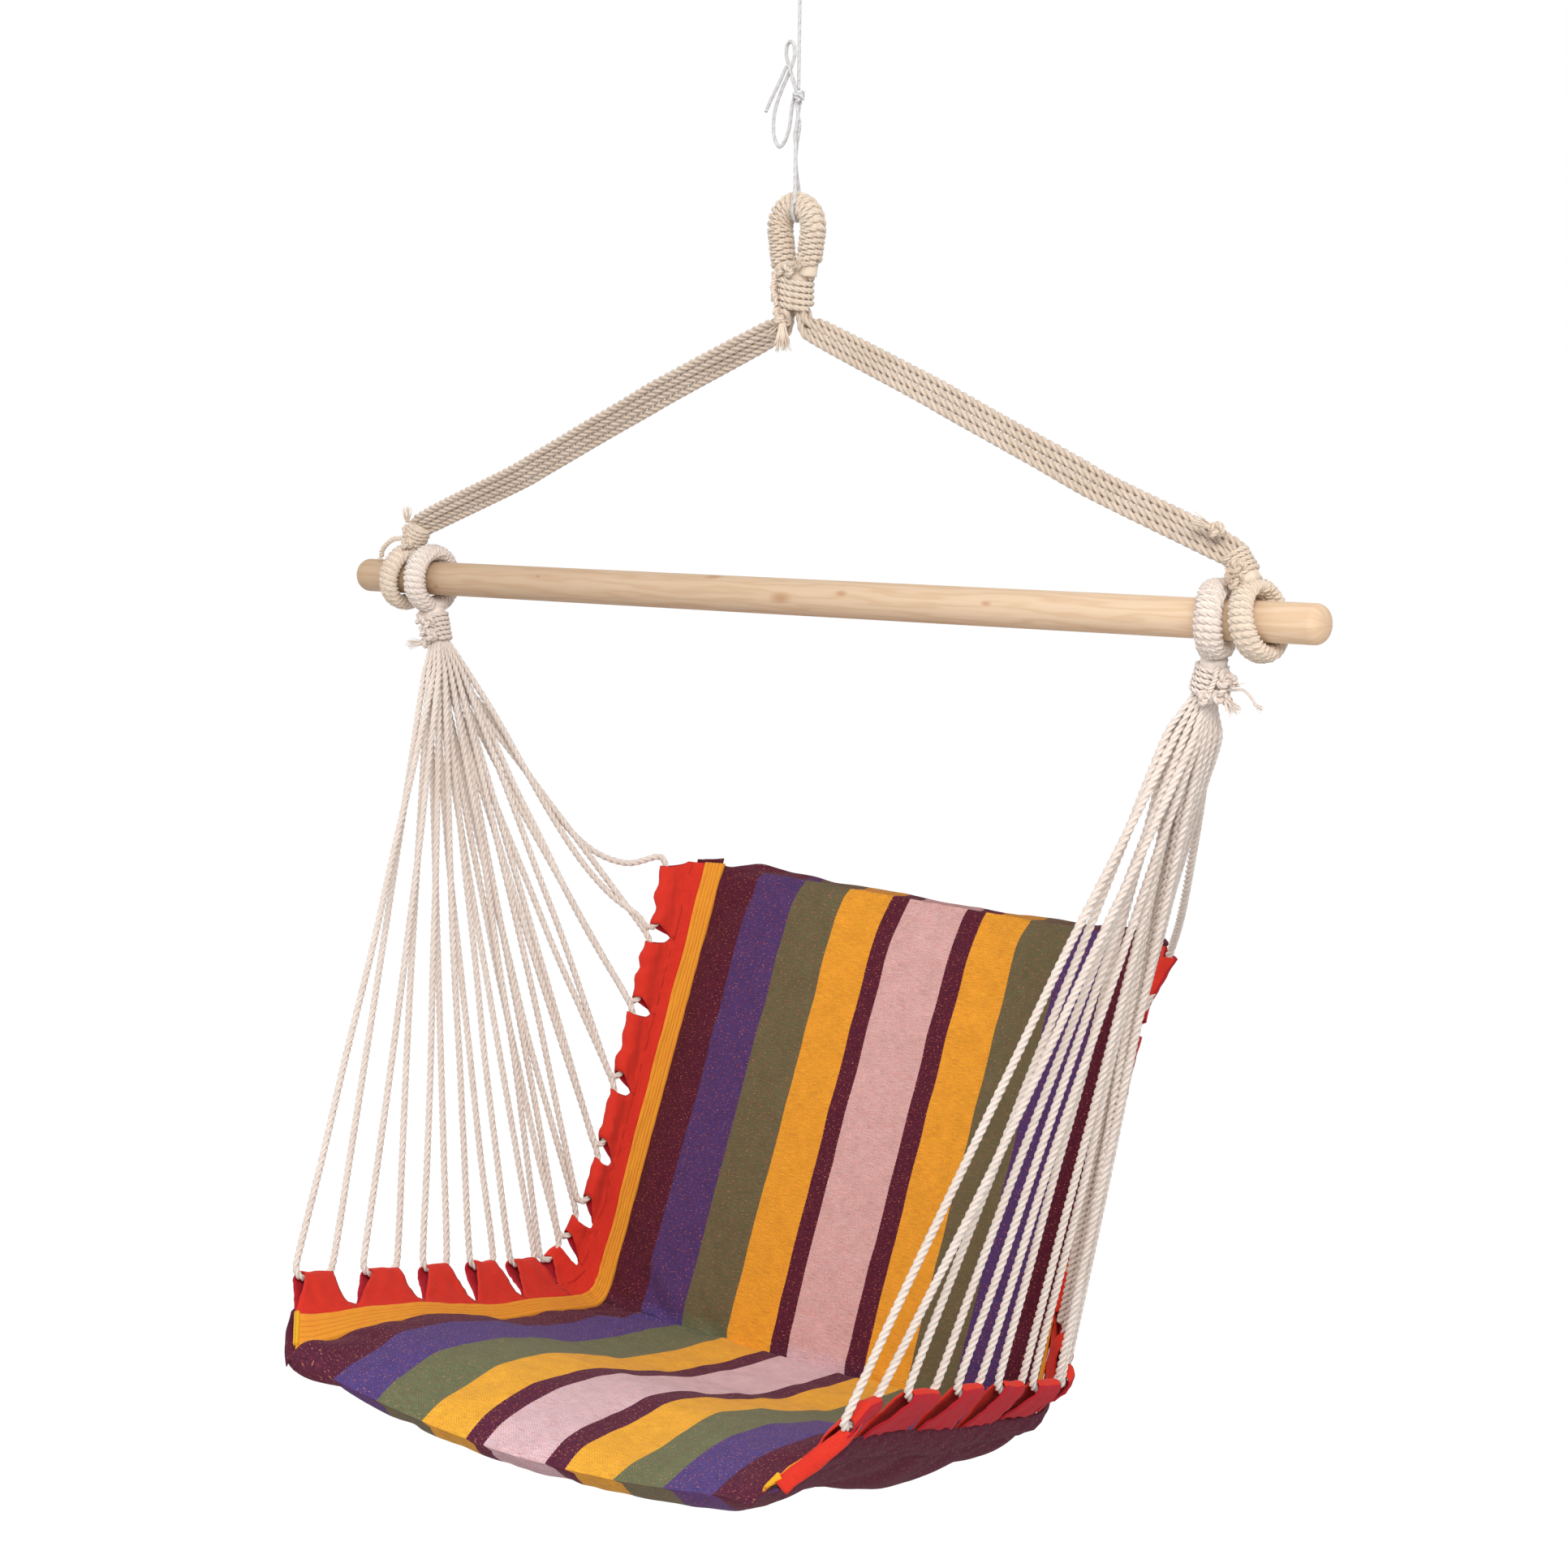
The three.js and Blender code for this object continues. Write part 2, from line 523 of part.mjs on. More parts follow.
// Suspension: eye, neck, legs and hanger rings
function addSuspension() {
  const coreRadius = eyeRopeRadius - whippingDiameter - slideGap;
  const frames = sharesFrom(eyeSteps).map((share) => eyeFrame(eyeLength * share));
  const footRise = eyeNeckBottom + eyeNeckLength - eyeFootDepth;
  const foot = (side) => vec(side * (eyeNeckRadius - coreRadius), 0, footRise);
  const arms = [foot(-1), ...frames.map(({ point }) => point), foot(1)];
  const neckTop = vec(0, 0, eyeNeckBottom + eyeNeckLength);
  const neck = rod(vec(0, 0, eyeNeckBottom), neckTop, eyeNeckRadius, eyeNeckSides);
  const slope = legSides.map(({ sign, along }) => {
    const towards = onBar(along).sub(crotch);
    return { sign, direction: vec(towards.x, 0, towards.z + hangerRing.neckLength).normalize() };
  });
  const wedge = new THREE.Shape();
  const faceHalf = crotchHeight / 2;
  const facePoint = ({ direction }, rise) => {
    const middle = at(crotch, [direction, crotchReach]);
    const upward = vec(-direction.z * Math.sign(direction.x), 0, Math.abs(direction.x));
    return at(middle, [upward, rise]);
  };
  const outline = [
    facePoint(slope[0], faceHalf), facePoint(slope[0], -faceHalf),
    facePoint(slope[1], -faceHalf), facePoint(slope[1], faceHalf),
  ];
  const shoulder = vec(eyeNeckRadius, 0, eyeNeckBottom + overrun);
  wedge.moveTo(outline[0].x, outline[0].z);
  for (const p of outline.slice(1)) wedge.lineTo(p.x, p.z);
  wedge.lineTo(shoulder.x, shoulder.z);
  wedge.lineTo(-shoulder.x, shoulder.z);
  wedge.closePath();
  const wedgeBody = new THREE.ExtrudeGeometry(wedge, { depth: crotchDepth, bevelEnabled: false });
  wedgeBody.rotateX(Math.PI / 2);
  wedgeBody.translate(0, crotchDepth / 2, 0);
  place('eye_core', joined(tube(arms, coreRadius, coreSides), neck, wedgeBody), cotton);

  const turns = 2 * eyeArmTurns + eyeArchTurns;
  const windStart = whippingDiameter;
  const windFrame = (share) => {
    const turn = share * turns;
    const armRun = eyeArmLength - windStart;
    const past = turn - eyeArmTurns - eyeArchTurns;
    if (turn < eyeArmTurns) return eyeFrame(windStart + (armRun * turn) / eyeArmTurns);
    if (past > 0) return eyeFrame(eyeArmLength + archLength + (armRun * past) / eyeArmTurns);
    return eyeFrame(eyeArmLength + (archLength * (turn - eyeArmTurns)) / eyeArchTurns);
  };
  const half = eyeRopeRadius - whippingDiameter / 2;
  place('eye_whipping', winding('eye_whipping', windFrame, half, half, whippingDiameter, turns), cotton);

  const down = zAxis.clone().negate();
  const wrapEnd = eyeNeckLength - overrun - restGap - whippingDiameter / 2;
  const wrapGeometry = neckWinding('eye_neck_wrap', neckTop, down, eyeNeckRadius, whippingDiameter,
    eyeNeckTurns, wrapEnd - eyeNeckTurns * neckPitch, wrapEnd);
  place('eye_neck_wrap', wrapGeometry, cotton);

  const lowest = Math.min(outline[1].z, outline[2].z);
  const knotMiddle = vec(0, 0, lowest - restGap - tailKnotRadius);
  const tailKnot = new THREE.SphereGeometry(tailKnotRadius, knotSides, knotRings);
  tailKnot.translate(knotMiddle.x, knotMiddle.y, knotMiddle.z);
  const drift = tailLength * tailDriftShare;
  const tailEnd = at(knotMiddle, [zAxis, -tailKnotRadius - tailLength], [xAxis, drift]);
  place('eye_tail', joined(tailKnot, rod(knotMiddle, tailEnd, tailRadius, lineSides, tailSpread)), cotton);

  for (const { side, sign, along } of legSides) {
    const shape = ringShape(hangerRing, along, 0, -sign * hangerLean, 1);
    const neckDirection = barUp.clone().multiplyScalar(Math.cos(hangerNeckLean))
      .addScaledVector(barAxis, -sign * Math.sin(hangerNeckLean));
    const neckStart = shape.frameAt(Math.PI / 2).point;
    place(`${side}_hanger_ring`, ringCore(hangerRing, shape, neckStart, neckDirection), cotton);
    const whippingName = `${side}_hanger_whipping`;
    place(whippingName, ringWinding(whippingName, hangerRing, shape, Math.PI / 2), cotton);
    const wrapName = `${side}_hanger_neck_wrap`;
    place(wrapName, ringNeckWinding(wrapName, hangerRing, neckStart, neckDirection), cotton);
    const legFoot = at(neckStart, [neckDirection, hangerRing.neckLength + restGap]);
    addLeg(side, sign, legFoot, neckDirection, slope);
  }
}

// Four strands from a hanger ring's neck up to the crotch: square at the ends, side by side between
function addLeg(side, sign, lowEnd, neckDirection, slope) {
  const { direction } = slope.find((entry) => entry.sign === sign);
  const highEnd = at(crotch, [direction, crotchReach + restGap]);
  const highDirection = direction.clone().negate();
  const middle = lowEnd.clone().add(highEnd).multiplyScalar(0.5);
  const legHalf = middle.distanceTo(highEnd) / 2;
  const fanOf = (direction) => {
    const normal = yAxis.clone().cross(direction).normalize();
    const level = yAxis.clone().multiplyScalar(Math.cos(legTwist));
    const spread = level.addScaledVector(normal, Math.sin(legTwist));
    return { spread, side: spread.clone().cross(direction).normalize() };
  };
  const [lowFan, highFan] = [fanOf(neckDirection), fanOf(highDirection)];
  const squareTurn = Math.atan(0.5);
  const squareOrder = [3, 0, 2, 1]; // corners of the square from one edge of the flat run to the other
  for (let k = 0; k < legStrands; k++) {
    const corner = Math.PI / 4 + (Math.PI / 2) * squareOrder[k] + squareTurn;
    const reach = legEndPitch / Math.SQRT2;
    const endOffset = [reach * Math.cos(corner), reach * Math.sin(corner)];
    const flat = ((legStrands - 1) / 2 - k) * legStrandPitch;
    const low = at(lowEnd, [lowFan.spread, endOffset[0]], [lowFan.side, endOffset[1]]);
    const high = at(highEnd, [highFan.spread, endOffset[0]], [highFan.side, endOffset[1]]);
    const flatPoint = (away) => at(middle, [highFan.spread, flat], [highDirection, away]);
    const points = [
      low, at(low, [neckDirection, legStraight]), flatPoint(-legHalf), flatPoint(0), flatPoint(legHalf),
      at(high, [highDirection, -legStraight]), high,
    ];
    place(`${side}_leg_strand_${k + 1}`, tube(points, cordDiameter / 2, cordSides), cotton);
  }
}

// A line of three points in the seat's side view whose corner is rounded; gives place and directions
function bentPath(start, corner, end, radius) {
  const inward = start.clone().sub(corner).normalize();
  const outward = end.clone().sub(corner).normalize();
  const opening = inward.angleTo(outward);
  const cut = radius / Math.tan(opening / 2);
  const first = start.distanceTo(corner) - cut;
  const bend = radius * (Math.PI - opening);
  const second = end.distanceTo(corner) - cut;
  const bisector = inward.clone().add(outward).normalize();
  const centre = at(corner, [bisector, radius / Math.sin(opening / 2)]);
  const length = first + bend + second;
  const placeAt = (s) => {
    if (s <= first) return { point: at(start, [inward, -s]), along: inward.clone().negate() };
    if (s >= first + bend) return { point: at(end, [outward, s - length]), along: outward.clone() };
    const angle = (s - first) / radius;
    const from = at(corner, [inward, cut]).sub(centre).applyAxisAngle(xAxis, angle);
    const along = inward.clone().negate().applyAxisAngle(xAxis, angle);
    return { point: centre.clone().add(from), along };
  };
  const frameAt = (s) => {
    const { point, along } = placeAt(s);
    return { point, along, up: xAxis.clone().cross(along).normalize() };
  };
  return { frameAt, length, first, bend, middle: first + bend / 2 };
}

const padCrease = vec(0, creaseBack, -creaseDrop);
const padFront = padCrease.clone().add(vec(0, -seatDepth, seatSlope));
const padTop = padCrease.clone().add(vec(0, backLean, backHeight));
const padPath = bentPath(padFront, padCrease, padTop, creaseRadius);

const laceFront = padFront.clone().add(vec(0, laceFrontInset, laceFrontRise));
const laceCrease = padCrease.clone().add(vec(0, laceCreaseInset, laceCreaseRise));
const laceTop = padTop.clone().add(vec(0, -laceTopInset, laceTopRise));
const lacePath = bentPath(laceFront, laceCrease, laceTop, laceRadius);
const laceHalfWidth = padHalfWidth + laceReach;

const crownAt = (share) => 1 - share ** 4;
const seatEnd = padPath.middle - creaseGap / 2;
const backStart = padPath.middle + creaseGap / 2;

// How far the seat bulges above its straight side view at a place along it
function liftAt(s) {
  const begun = THREE.MathUtils.smoothstep(s, liftStart, liftFull);
  return seatLift * begun * (1 - THREE.MathUtils.smoothstep(s, liftLeave, liftEnd));
}

// How far the middle of the seat hangs below its sides at a place along it
function sagAt(across, s) {
  const share = THREE.MathUtils.clamp(s / padPath.length, 0, 1);
  return seatSag * (1 - across ** 2) * mix(1, backSagShare, share);
}

function padCrown(across, s) {
  const [from, to] = s < padPath.middle ? [0, seatEnd] : [backStart, padPath.length];
  const lengthShare = THREE.MathUtils.clamp((2 * (s - from)) / (to - from) - 1, -1, 1);
  return crownAt(across) * crownAt(lengthShare);
}

// A point of the seat: x across, s along the side view, height above the pad's upper rim
function seatPoint(x, s, height) {
  const { point, up } = padPath.frameAt(s);
  const across = THREE.MathUtils.clamp(x / padHalfWidth, -1, 1);
  return at(point, [xAxis, x], [up, height + liftAt(s) - sagAt(across, s)]);
}

// Stations along and across the pads, shared by the pads and their cloths, closer where the form turns
const alongShares = [0, 0.04, 0.1, 0.35, 0.65, 0.9, 1];
const acrossShares = [-1, -0.85, -0.5, 0, 0.5, 0.85, 1];
const bendEnd = padPath.first + padPath.bend;
const seatStations = [...alongShares.map((u) => mix(0, padPath.first, u)), seatEnd];
const backStations = [backStart, ...alongShares.map((u) => mix(bendEnd, padPath.length, u))];
const stations = [...seatStations, ...backStations];

function addPadding(name, rows, group) {
  const pointAt = (a, s, height) => seatPoint(a * padHalfWidth, s, height(padCrown(a, s)));
  const row = (s, height) => acrossShares.map((a) => pointAt(a, s, height));
  const upper = rows.map((s) => row(s, (crown) => crownAbove * crown));
  const lower = rows.map((s) => row(s, (crown) => -padRim - crownBelow * crown));
  place(name, slab(upper, lower), wadding, group);
}

// Direction from the pad's edge to the lacing at one side, and the sheet's inner side there
function borderFrame(sign, s) {
  const edge = padPath.frameAt(s);
  const share = THREE.MathUtils.clamp(s / padPath.length, 0, 1);
  const lace = lacePath.frameAt(share * lacePath.length);
  const out = padHalfWidth + restGap + clothThickness + trayFlare;
  const start = at(edge.point, [xAxis, sign * out], [edge.up, liftAt(s)]);
  const end = at(lace.point, [xAxis, sign * laceHalfWidth]);
  const reach = end.clone().sub(start);
  const inner = edge.along.clone().cross(reach).multiplyScalar(-sign).normalize();
  return { start, end, reach, inner };
}

function addCloths(group) {
  const gap = clothGap;
  const columns = acrossShares;
  const lip = clothThickness + gap + trayFlare;
  const frontRows = [-lip, ...stations, padPath.length + lip].map((s) => {
    const inside = columns.map((a) => {
      const height = crownAbove * padCrown(a, s) + gap;
      return [height, height + clothThickness].map((level) => seatPoint(a * padHalfWidth, s, level));
    });
    const border = (sign) => {
      const { start, reach, inner } = borderFrame(sign, s);
      const foot = at(start, [inner, gap]);
      const rim = at(start, [reach, borderShare], [inner, gap]);
      return [foot, rim].map((p) => [p, at(p, [inner, clothThickness])]);
    };
    const [leftFoot, leftRim] = border(-1);
    const [rightFoot, rightRim] = border(1);
    return [leftRim, leftFoot, ...inside.slice(1, -1), rightFoot, rightRim];
  });
  place('front_cloth', slab(
    frontRows.map((row) => row.map((pair) => pair[1])),
    frontRows.map((row) => row.map((pair) => pair[0]))), stripedCloth, group);

  // The rear cloth is a shallow tray whose walls rise round the pads to just under the front cloth
  const wallTop = -gap;
  const wall = (value, limit, out) => Math.sign(value) * (limit + gap + out);
  const trayColumns = [
    { wall: true, a: -1, out: trayFlare }, { wall: false, a: -1, out: 0 },
    ...columns.slice(1, -1).map((a) => ({ wall: false, a, out: null })),
    { wall: false, a: 1, out: 0 }, { wall: true, a: 1, out: trayFlare },
  ];
  const plainRows = stations.slice(1, -1).map((s) => ({ wall: false, s, grow: 0 }));
  const farEnd = padPath.length + gap;
  const trayRows = [
    { wall: true, s: -gap - trayFlare, grow: -1 }, { wall: false, s: -gap, grow: -1 },
    ...plainRows,
    { wall: false, s: farEnd, grow: 1 }, { wall: true, s: farEnd + trayFlare, grow: 1 },
  ];
  const trayPair = (row, column) => {
    const base = -padRim - crownBelow * padCrown(column.a, row.s) - gap;
    const heights = row.wall || column.wall ? [wallTop, wallTop] : [base, base - clothThickness];
    return [0, clothThickness].map((thick, i) => {
      const side = wall(column.a, padHalfWidth, column.out + thick);
      const x = column.out === null ? column.a * padHalfWidth : side;
      return seatPoint(x, row.s + row.grow * thick, heights[i]);
    });
  };
  const tray = trayRows.map((row) => trayColumns.map((column) => trayPair(row, column)));
  place('rear_cloth', slab(
    tray.map((row) => row.map((pair) => pair[0])),
    tray.map((row) => row.map((pair) => pair[1]))), underCloth, group);
}

// The lacing line at one side, by its share from the front corner to the back's top
function lacePoint(sign, share) {
  const { point } = lacePath.frameAt(share * lacePath.length);
  return at(point, [xAxis, sign * laceHalfWidth]);
}

// A hem: a band behind the border cloth, and a tab with a tunnel for each bight of cord
function addHem(name, sign, group) {
  const sheetPair = (point, inner, depth) => {
    const face = at(point, [inner, depth]);
    return [face, at(face, [inner, -hemThickness])];
  };
  const bandShares = [bandStartShare, bandEndShare];
  const bandRows = stations.map((s) => {
    const { start, reach, inner } = borderFrame(sign, s);
    const pairs = bandShares.map((share) => sheetPair(at(start, [reach, share]), inner, -clothGap));
    return sign < 0 ? pairs.reverse() : pairs;
  });
  let hem = manifoldOf(slab(
    bandRows.map((row) => row.map((pair) => pair[0])),
    bandRows.map((row) => row.map((pair) => pair[1]))));
  const edges = bightShares.map(([from, to], i) => [
    i === 0 ? 0 : (bightShares[i - 1][1] + from) / 2,
    i === bightShares.length - 1 ? 1 : (to + bightShares[i + 1][0]) / 2,
  ]);
  let bores = null;
  bightShares.forEach(([from, to], i) => {
    const top = [lacePoint(sign, from), lacePoint(sign, to)];
    const run = top[1].clone().sub(top[0]).normalize();
    const mouths = [at(top[0], [run, tunnelSetback]), at(top[1], [run, -tunnelSetback])];
    const inset = tabInset / padPath.length;
    const roots = [edges[i][0] + inset, edges[i][1] - inset].map((share) => {
      const { start, reach } = borderFrame(sign, share * padPath.length);
      return at(start, [reach, tabRootShare]);
    });
    const middle = borderFrame(sign, ((from + to) / 2) * padPath.length);
    const rows = [roots, mouths].map((pair) => pair.map((p) => sheetPair(p, middle.inner, 0)));
    const plate = slab(
      rows.map((row) => row.map((pair) => pair[0])),
      rows.map((row) => row.map((pair) => pair[1])));
    hem = hem.add(manifoldOf(plate)).add(manifoldOf(rod(mouths[0], mouths[1], tunnelRadius, hemSides)));
    const bore = manifoldOf(rod(top[0], top[1], tunnelBoreRadius, hemSides));
    bores = bores ? bores.add(bore) : bore;
  });
  place(name, geometryOf(hem.subtract(bores)), redCloth, group);
}

// Seat rings on the bar, their flared necks and the fans of cords down to the hems
function addSeatSide(side, sign, along, turn, seatGroup) {
  seatGroup.updateMatrixWorld(true);
  const shares = bightShares.flat();
  const lacing = shares.map((share) => lacePoint(sign, share).applyMatrix4(seatGroup.matrixWorld));
  const centre = lacing.reduce((sum, p) => sum.add(p), vec(0, 0, 0)).divideScalar(lacing.length);
  const shape = ringShape(seatRing, along, turn, 0, -1);
  const neckStart = shape.frameAt(-Math.PI / 2).point;
  const down = centre.clone().sub(neckStart).normalize();
  const fanAcross = at(barAxis, [down, -barAxis.dot(down)]).multiplyScalar(sign).normalize();
  const fanAlong = down.clone().cross(fanAcross).normalize();
  if (fanAlong.y < 0) fanAlong.negate();
  const neckEnd = at(neckStart, [down, seatRing.neckLength]);
  const face = at(neckEnd, [down, flareLength]);
  const flareRow = (middle, halfAcross, halfAlong) => Array.from({ length: flareSides }, (_, k) => {
    const angle = (2 * Math.PI * (k + 0.5)) / flareSides;
    const [c, s] = [Math.cos(angle), Math.sin(angle)];
    const square = Math.sqrt(Math.max(Math.abs(c), Math.abs(s)));
    return at(middle, [fanAcross, (halfAcross * c) / square], [fanAlong, (halfAlong * s) / square]);
  });
  const halfAcross = (fanPitch * (fanColumns - 1) + cordDiameter) / 2;
  const halfAlong = (fanPitch * (fanRows - 1) + cordDiameter) / 2;
  const narrow = seatRing.neckRadius * flareNarrowShare;
  const waist = at(neckEnd, [down, flareLength * flareWaistPlaceShare]);
  const flare = skin([
    flareRow(at(neckEnd, [down, -overrun]), narrow, narrow),
    flareRow(waist, halfAcross * flareWaistAcrossShare, halfAlong * flareWaistAlongShare),
    flareRow(face, halfAcross, halfAlong),
  ]);
  place(`${side}_seat_ring`, ringCore(seatRing, shape, neckStart, down, [flare]), whiteCotton);
  const whippingName = `${side}_seat_ring_whipping`;
  place(whippingName, ringWinding(whippingName, seatRing, shape, -Math.PI / 2), whiteCotton);
  const wrapName = `${side}_seat_neck_wrap`;
  place(wrapName, ringNeckWinding(wrapName, seatRing, neckStart, down), whiteCotton);

  const radius = cordDiameter / 2;
  const cordFrom = (k, out) => {
    const row = Math.floor(k / fanColumns) - (fanRows - 1) / 2;
    const column = columnOrder[k % fanColumns] - (fanColumns - 1) / 2;
    const spot = at(face, [fanAcross, column * fanPitch], [fanAlong, row * fanPitch]);
    const rise = spot.clone().sub(lacing[k]).normalize();
    const turnsBack = rise.dot(out) < -turnBackCosine;
    const { inner } = borderFrame(sign, shares[k] * padPath.length);
    const aside = inner.transformDirection(seatGroup.matrixWorld);
    const foot = turnsBack ? at(lacing[k], [aside, standOff]) : at(lacing[k], [rise, cordBend]);
    const corner = turnsBack ? [at(lacing[k], [aside, cordBend]), foot] : [foot];
    const direction = foot.clone().sub(spot).normalize();
    const slant = direction.angleTo(down);
    const end = at(spot, [direction, radius * Math.tan(slant) + restGap]);
    return [at(lacing[k], [out, -cordBend]), ...corner, end];
  };
  bightShares.forEach((_, i) => {
    const [front, rear] = [2 * i, 2 * i + 1];
    const run = lacing[rear].clone().sub(lacing[front]).normalize();
    const points = [...cordFrom(front, run.clone().negate()).reverse(), ...cordFrom(rear, run)];
    const number = String(i + 1).padStart(2, '0');
    place(`${side}_cord_bight_${number}`, tube(points, radius, cordSides), whiteCotton);
  });
}

function addSeat() {
  const seat = new THREE.Group();
  seat.position.copy(barMiddle);
  seat.quaternion.setFromAxisAngle(zAxis, seatTurn)
    .multiply(new THREE.Quaternion().setFromAxisAngle(yAxis, seatRoll));
  chair.add(seat);
  addPadding('seat_padding', seatStations, seat);
  addPadding('back_padding', backStations, seat);
  addCloths(seat);
  addHem('left_hem', -1, seat);
  addHem('right_hem', 1, seat);
  addSeatSide('left', -1, leftSeatRingPlace, leftSeatRingTurn, seat);
  addSeatSide('right', 1, rightSeatRingPlace, rightSeatRingTurn, seat);
}

addLine();
addSuspension();
addBar();
addSeat();

export default chair;
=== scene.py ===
# Hammock chair on one rope eye: line and knot, whipped eye, rope legs, wooden bar, whipped rings,
# two fans of seat cords and a padded striped seat with laced red sides. Sizes are millimetres until
# a mesh is made; x runs along the bar, y to the back, and the line's top loop hangs from the origin.
import json
import math
from functools import cache

import bpy
import numpy as np
from mathutils import Matrix
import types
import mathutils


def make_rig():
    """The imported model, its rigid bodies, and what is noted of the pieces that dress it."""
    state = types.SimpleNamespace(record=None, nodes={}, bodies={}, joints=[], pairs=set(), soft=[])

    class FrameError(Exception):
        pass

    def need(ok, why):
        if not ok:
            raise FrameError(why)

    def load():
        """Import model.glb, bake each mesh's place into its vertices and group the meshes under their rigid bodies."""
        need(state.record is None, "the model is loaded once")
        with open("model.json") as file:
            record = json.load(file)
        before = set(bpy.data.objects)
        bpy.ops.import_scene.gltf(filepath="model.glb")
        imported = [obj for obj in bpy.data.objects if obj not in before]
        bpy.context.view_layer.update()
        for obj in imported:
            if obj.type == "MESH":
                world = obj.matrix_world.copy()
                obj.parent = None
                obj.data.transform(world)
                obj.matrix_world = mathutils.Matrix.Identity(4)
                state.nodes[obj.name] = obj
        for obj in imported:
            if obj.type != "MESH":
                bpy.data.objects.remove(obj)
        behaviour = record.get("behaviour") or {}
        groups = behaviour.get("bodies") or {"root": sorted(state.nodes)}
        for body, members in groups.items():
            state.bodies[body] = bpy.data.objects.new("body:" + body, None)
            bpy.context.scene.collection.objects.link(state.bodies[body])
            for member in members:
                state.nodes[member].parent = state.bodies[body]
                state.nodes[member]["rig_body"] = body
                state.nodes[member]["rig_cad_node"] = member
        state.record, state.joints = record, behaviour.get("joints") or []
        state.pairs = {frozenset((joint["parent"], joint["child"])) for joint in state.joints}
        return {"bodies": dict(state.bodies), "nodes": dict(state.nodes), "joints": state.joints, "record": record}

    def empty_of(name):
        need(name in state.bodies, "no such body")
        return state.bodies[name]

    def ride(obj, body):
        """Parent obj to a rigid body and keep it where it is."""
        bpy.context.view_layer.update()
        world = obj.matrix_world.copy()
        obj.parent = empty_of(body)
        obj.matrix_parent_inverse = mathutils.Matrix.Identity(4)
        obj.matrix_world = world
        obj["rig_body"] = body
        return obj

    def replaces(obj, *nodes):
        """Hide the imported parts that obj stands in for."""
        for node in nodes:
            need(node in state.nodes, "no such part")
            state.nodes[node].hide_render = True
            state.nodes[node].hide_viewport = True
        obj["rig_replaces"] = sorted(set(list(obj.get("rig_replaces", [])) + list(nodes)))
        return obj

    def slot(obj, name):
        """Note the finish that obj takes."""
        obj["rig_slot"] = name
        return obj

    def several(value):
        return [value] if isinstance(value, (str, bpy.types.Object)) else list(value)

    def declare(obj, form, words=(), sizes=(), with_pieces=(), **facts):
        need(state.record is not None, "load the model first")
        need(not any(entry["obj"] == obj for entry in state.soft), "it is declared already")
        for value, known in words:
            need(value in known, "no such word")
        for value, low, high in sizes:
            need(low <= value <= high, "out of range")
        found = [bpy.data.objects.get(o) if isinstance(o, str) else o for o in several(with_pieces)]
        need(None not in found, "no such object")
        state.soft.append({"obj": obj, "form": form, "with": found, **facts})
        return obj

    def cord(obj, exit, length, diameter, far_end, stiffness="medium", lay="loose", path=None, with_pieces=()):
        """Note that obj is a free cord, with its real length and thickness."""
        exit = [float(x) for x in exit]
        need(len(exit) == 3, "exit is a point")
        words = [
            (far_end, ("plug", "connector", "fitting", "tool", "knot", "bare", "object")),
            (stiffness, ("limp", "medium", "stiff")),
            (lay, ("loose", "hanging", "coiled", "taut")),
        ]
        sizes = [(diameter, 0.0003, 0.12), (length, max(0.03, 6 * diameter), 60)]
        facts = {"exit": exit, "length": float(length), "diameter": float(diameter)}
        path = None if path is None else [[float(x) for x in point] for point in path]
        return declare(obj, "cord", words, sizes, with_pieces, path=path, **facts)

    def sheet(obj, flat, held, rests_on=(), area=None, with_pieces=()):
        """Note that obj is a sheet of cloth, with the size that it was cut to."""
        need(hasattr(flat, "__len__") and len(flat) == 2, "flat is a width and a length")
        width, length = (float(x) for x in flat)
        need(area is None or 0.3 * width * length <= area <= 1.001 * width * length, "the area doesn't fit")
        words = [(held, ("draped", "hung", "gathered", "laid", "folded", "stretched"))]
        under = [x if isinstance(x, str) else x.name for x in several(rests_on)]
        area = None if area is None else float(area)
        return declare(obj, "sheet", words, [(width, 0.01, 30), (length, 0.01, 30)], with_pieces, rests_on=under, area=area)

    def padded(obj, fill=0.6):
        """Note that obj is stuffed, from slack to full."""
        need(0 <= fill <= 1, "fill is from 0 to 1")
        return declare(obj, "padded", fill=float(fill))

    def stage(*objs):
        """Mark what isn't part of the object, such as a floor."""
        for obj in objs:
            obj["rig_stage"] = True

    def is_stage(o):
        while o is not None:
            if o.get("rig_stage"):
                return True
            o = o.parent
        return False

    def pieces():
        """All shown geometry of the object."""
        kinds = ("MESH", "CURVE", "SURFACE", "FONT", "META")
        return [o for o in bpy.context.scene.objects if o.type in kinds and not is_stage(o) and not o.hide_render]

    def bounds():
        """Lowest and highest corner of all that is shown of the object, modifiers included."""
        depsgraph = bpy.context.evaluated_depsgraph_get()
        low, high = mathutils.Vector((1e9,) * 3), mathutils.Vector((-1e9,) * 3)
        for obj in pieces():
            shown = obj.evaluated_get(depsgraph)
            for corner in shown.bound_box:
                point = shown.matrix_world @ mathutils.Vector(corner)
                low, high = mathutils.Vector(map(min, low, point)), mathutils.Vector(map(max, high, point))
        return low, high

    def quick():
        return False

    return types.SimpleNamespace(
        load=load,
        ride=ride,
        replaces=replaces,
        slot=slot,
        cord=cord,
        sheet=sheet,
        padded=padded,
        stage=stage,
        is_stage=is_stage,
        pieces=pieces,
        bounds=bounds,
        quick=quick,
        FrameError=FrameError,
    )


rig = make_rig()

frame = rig.load()
cadBox = [list(corner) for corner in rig.bounds()]
mm = 0.001
fullTurn = 2 * math.pi
draws = np.random.default_rng(5)


# Vectors and lines

def vec(*numbers):
    return np.array(numbers, float)


def unit(v):
    return v / np.linalg.norm(v)


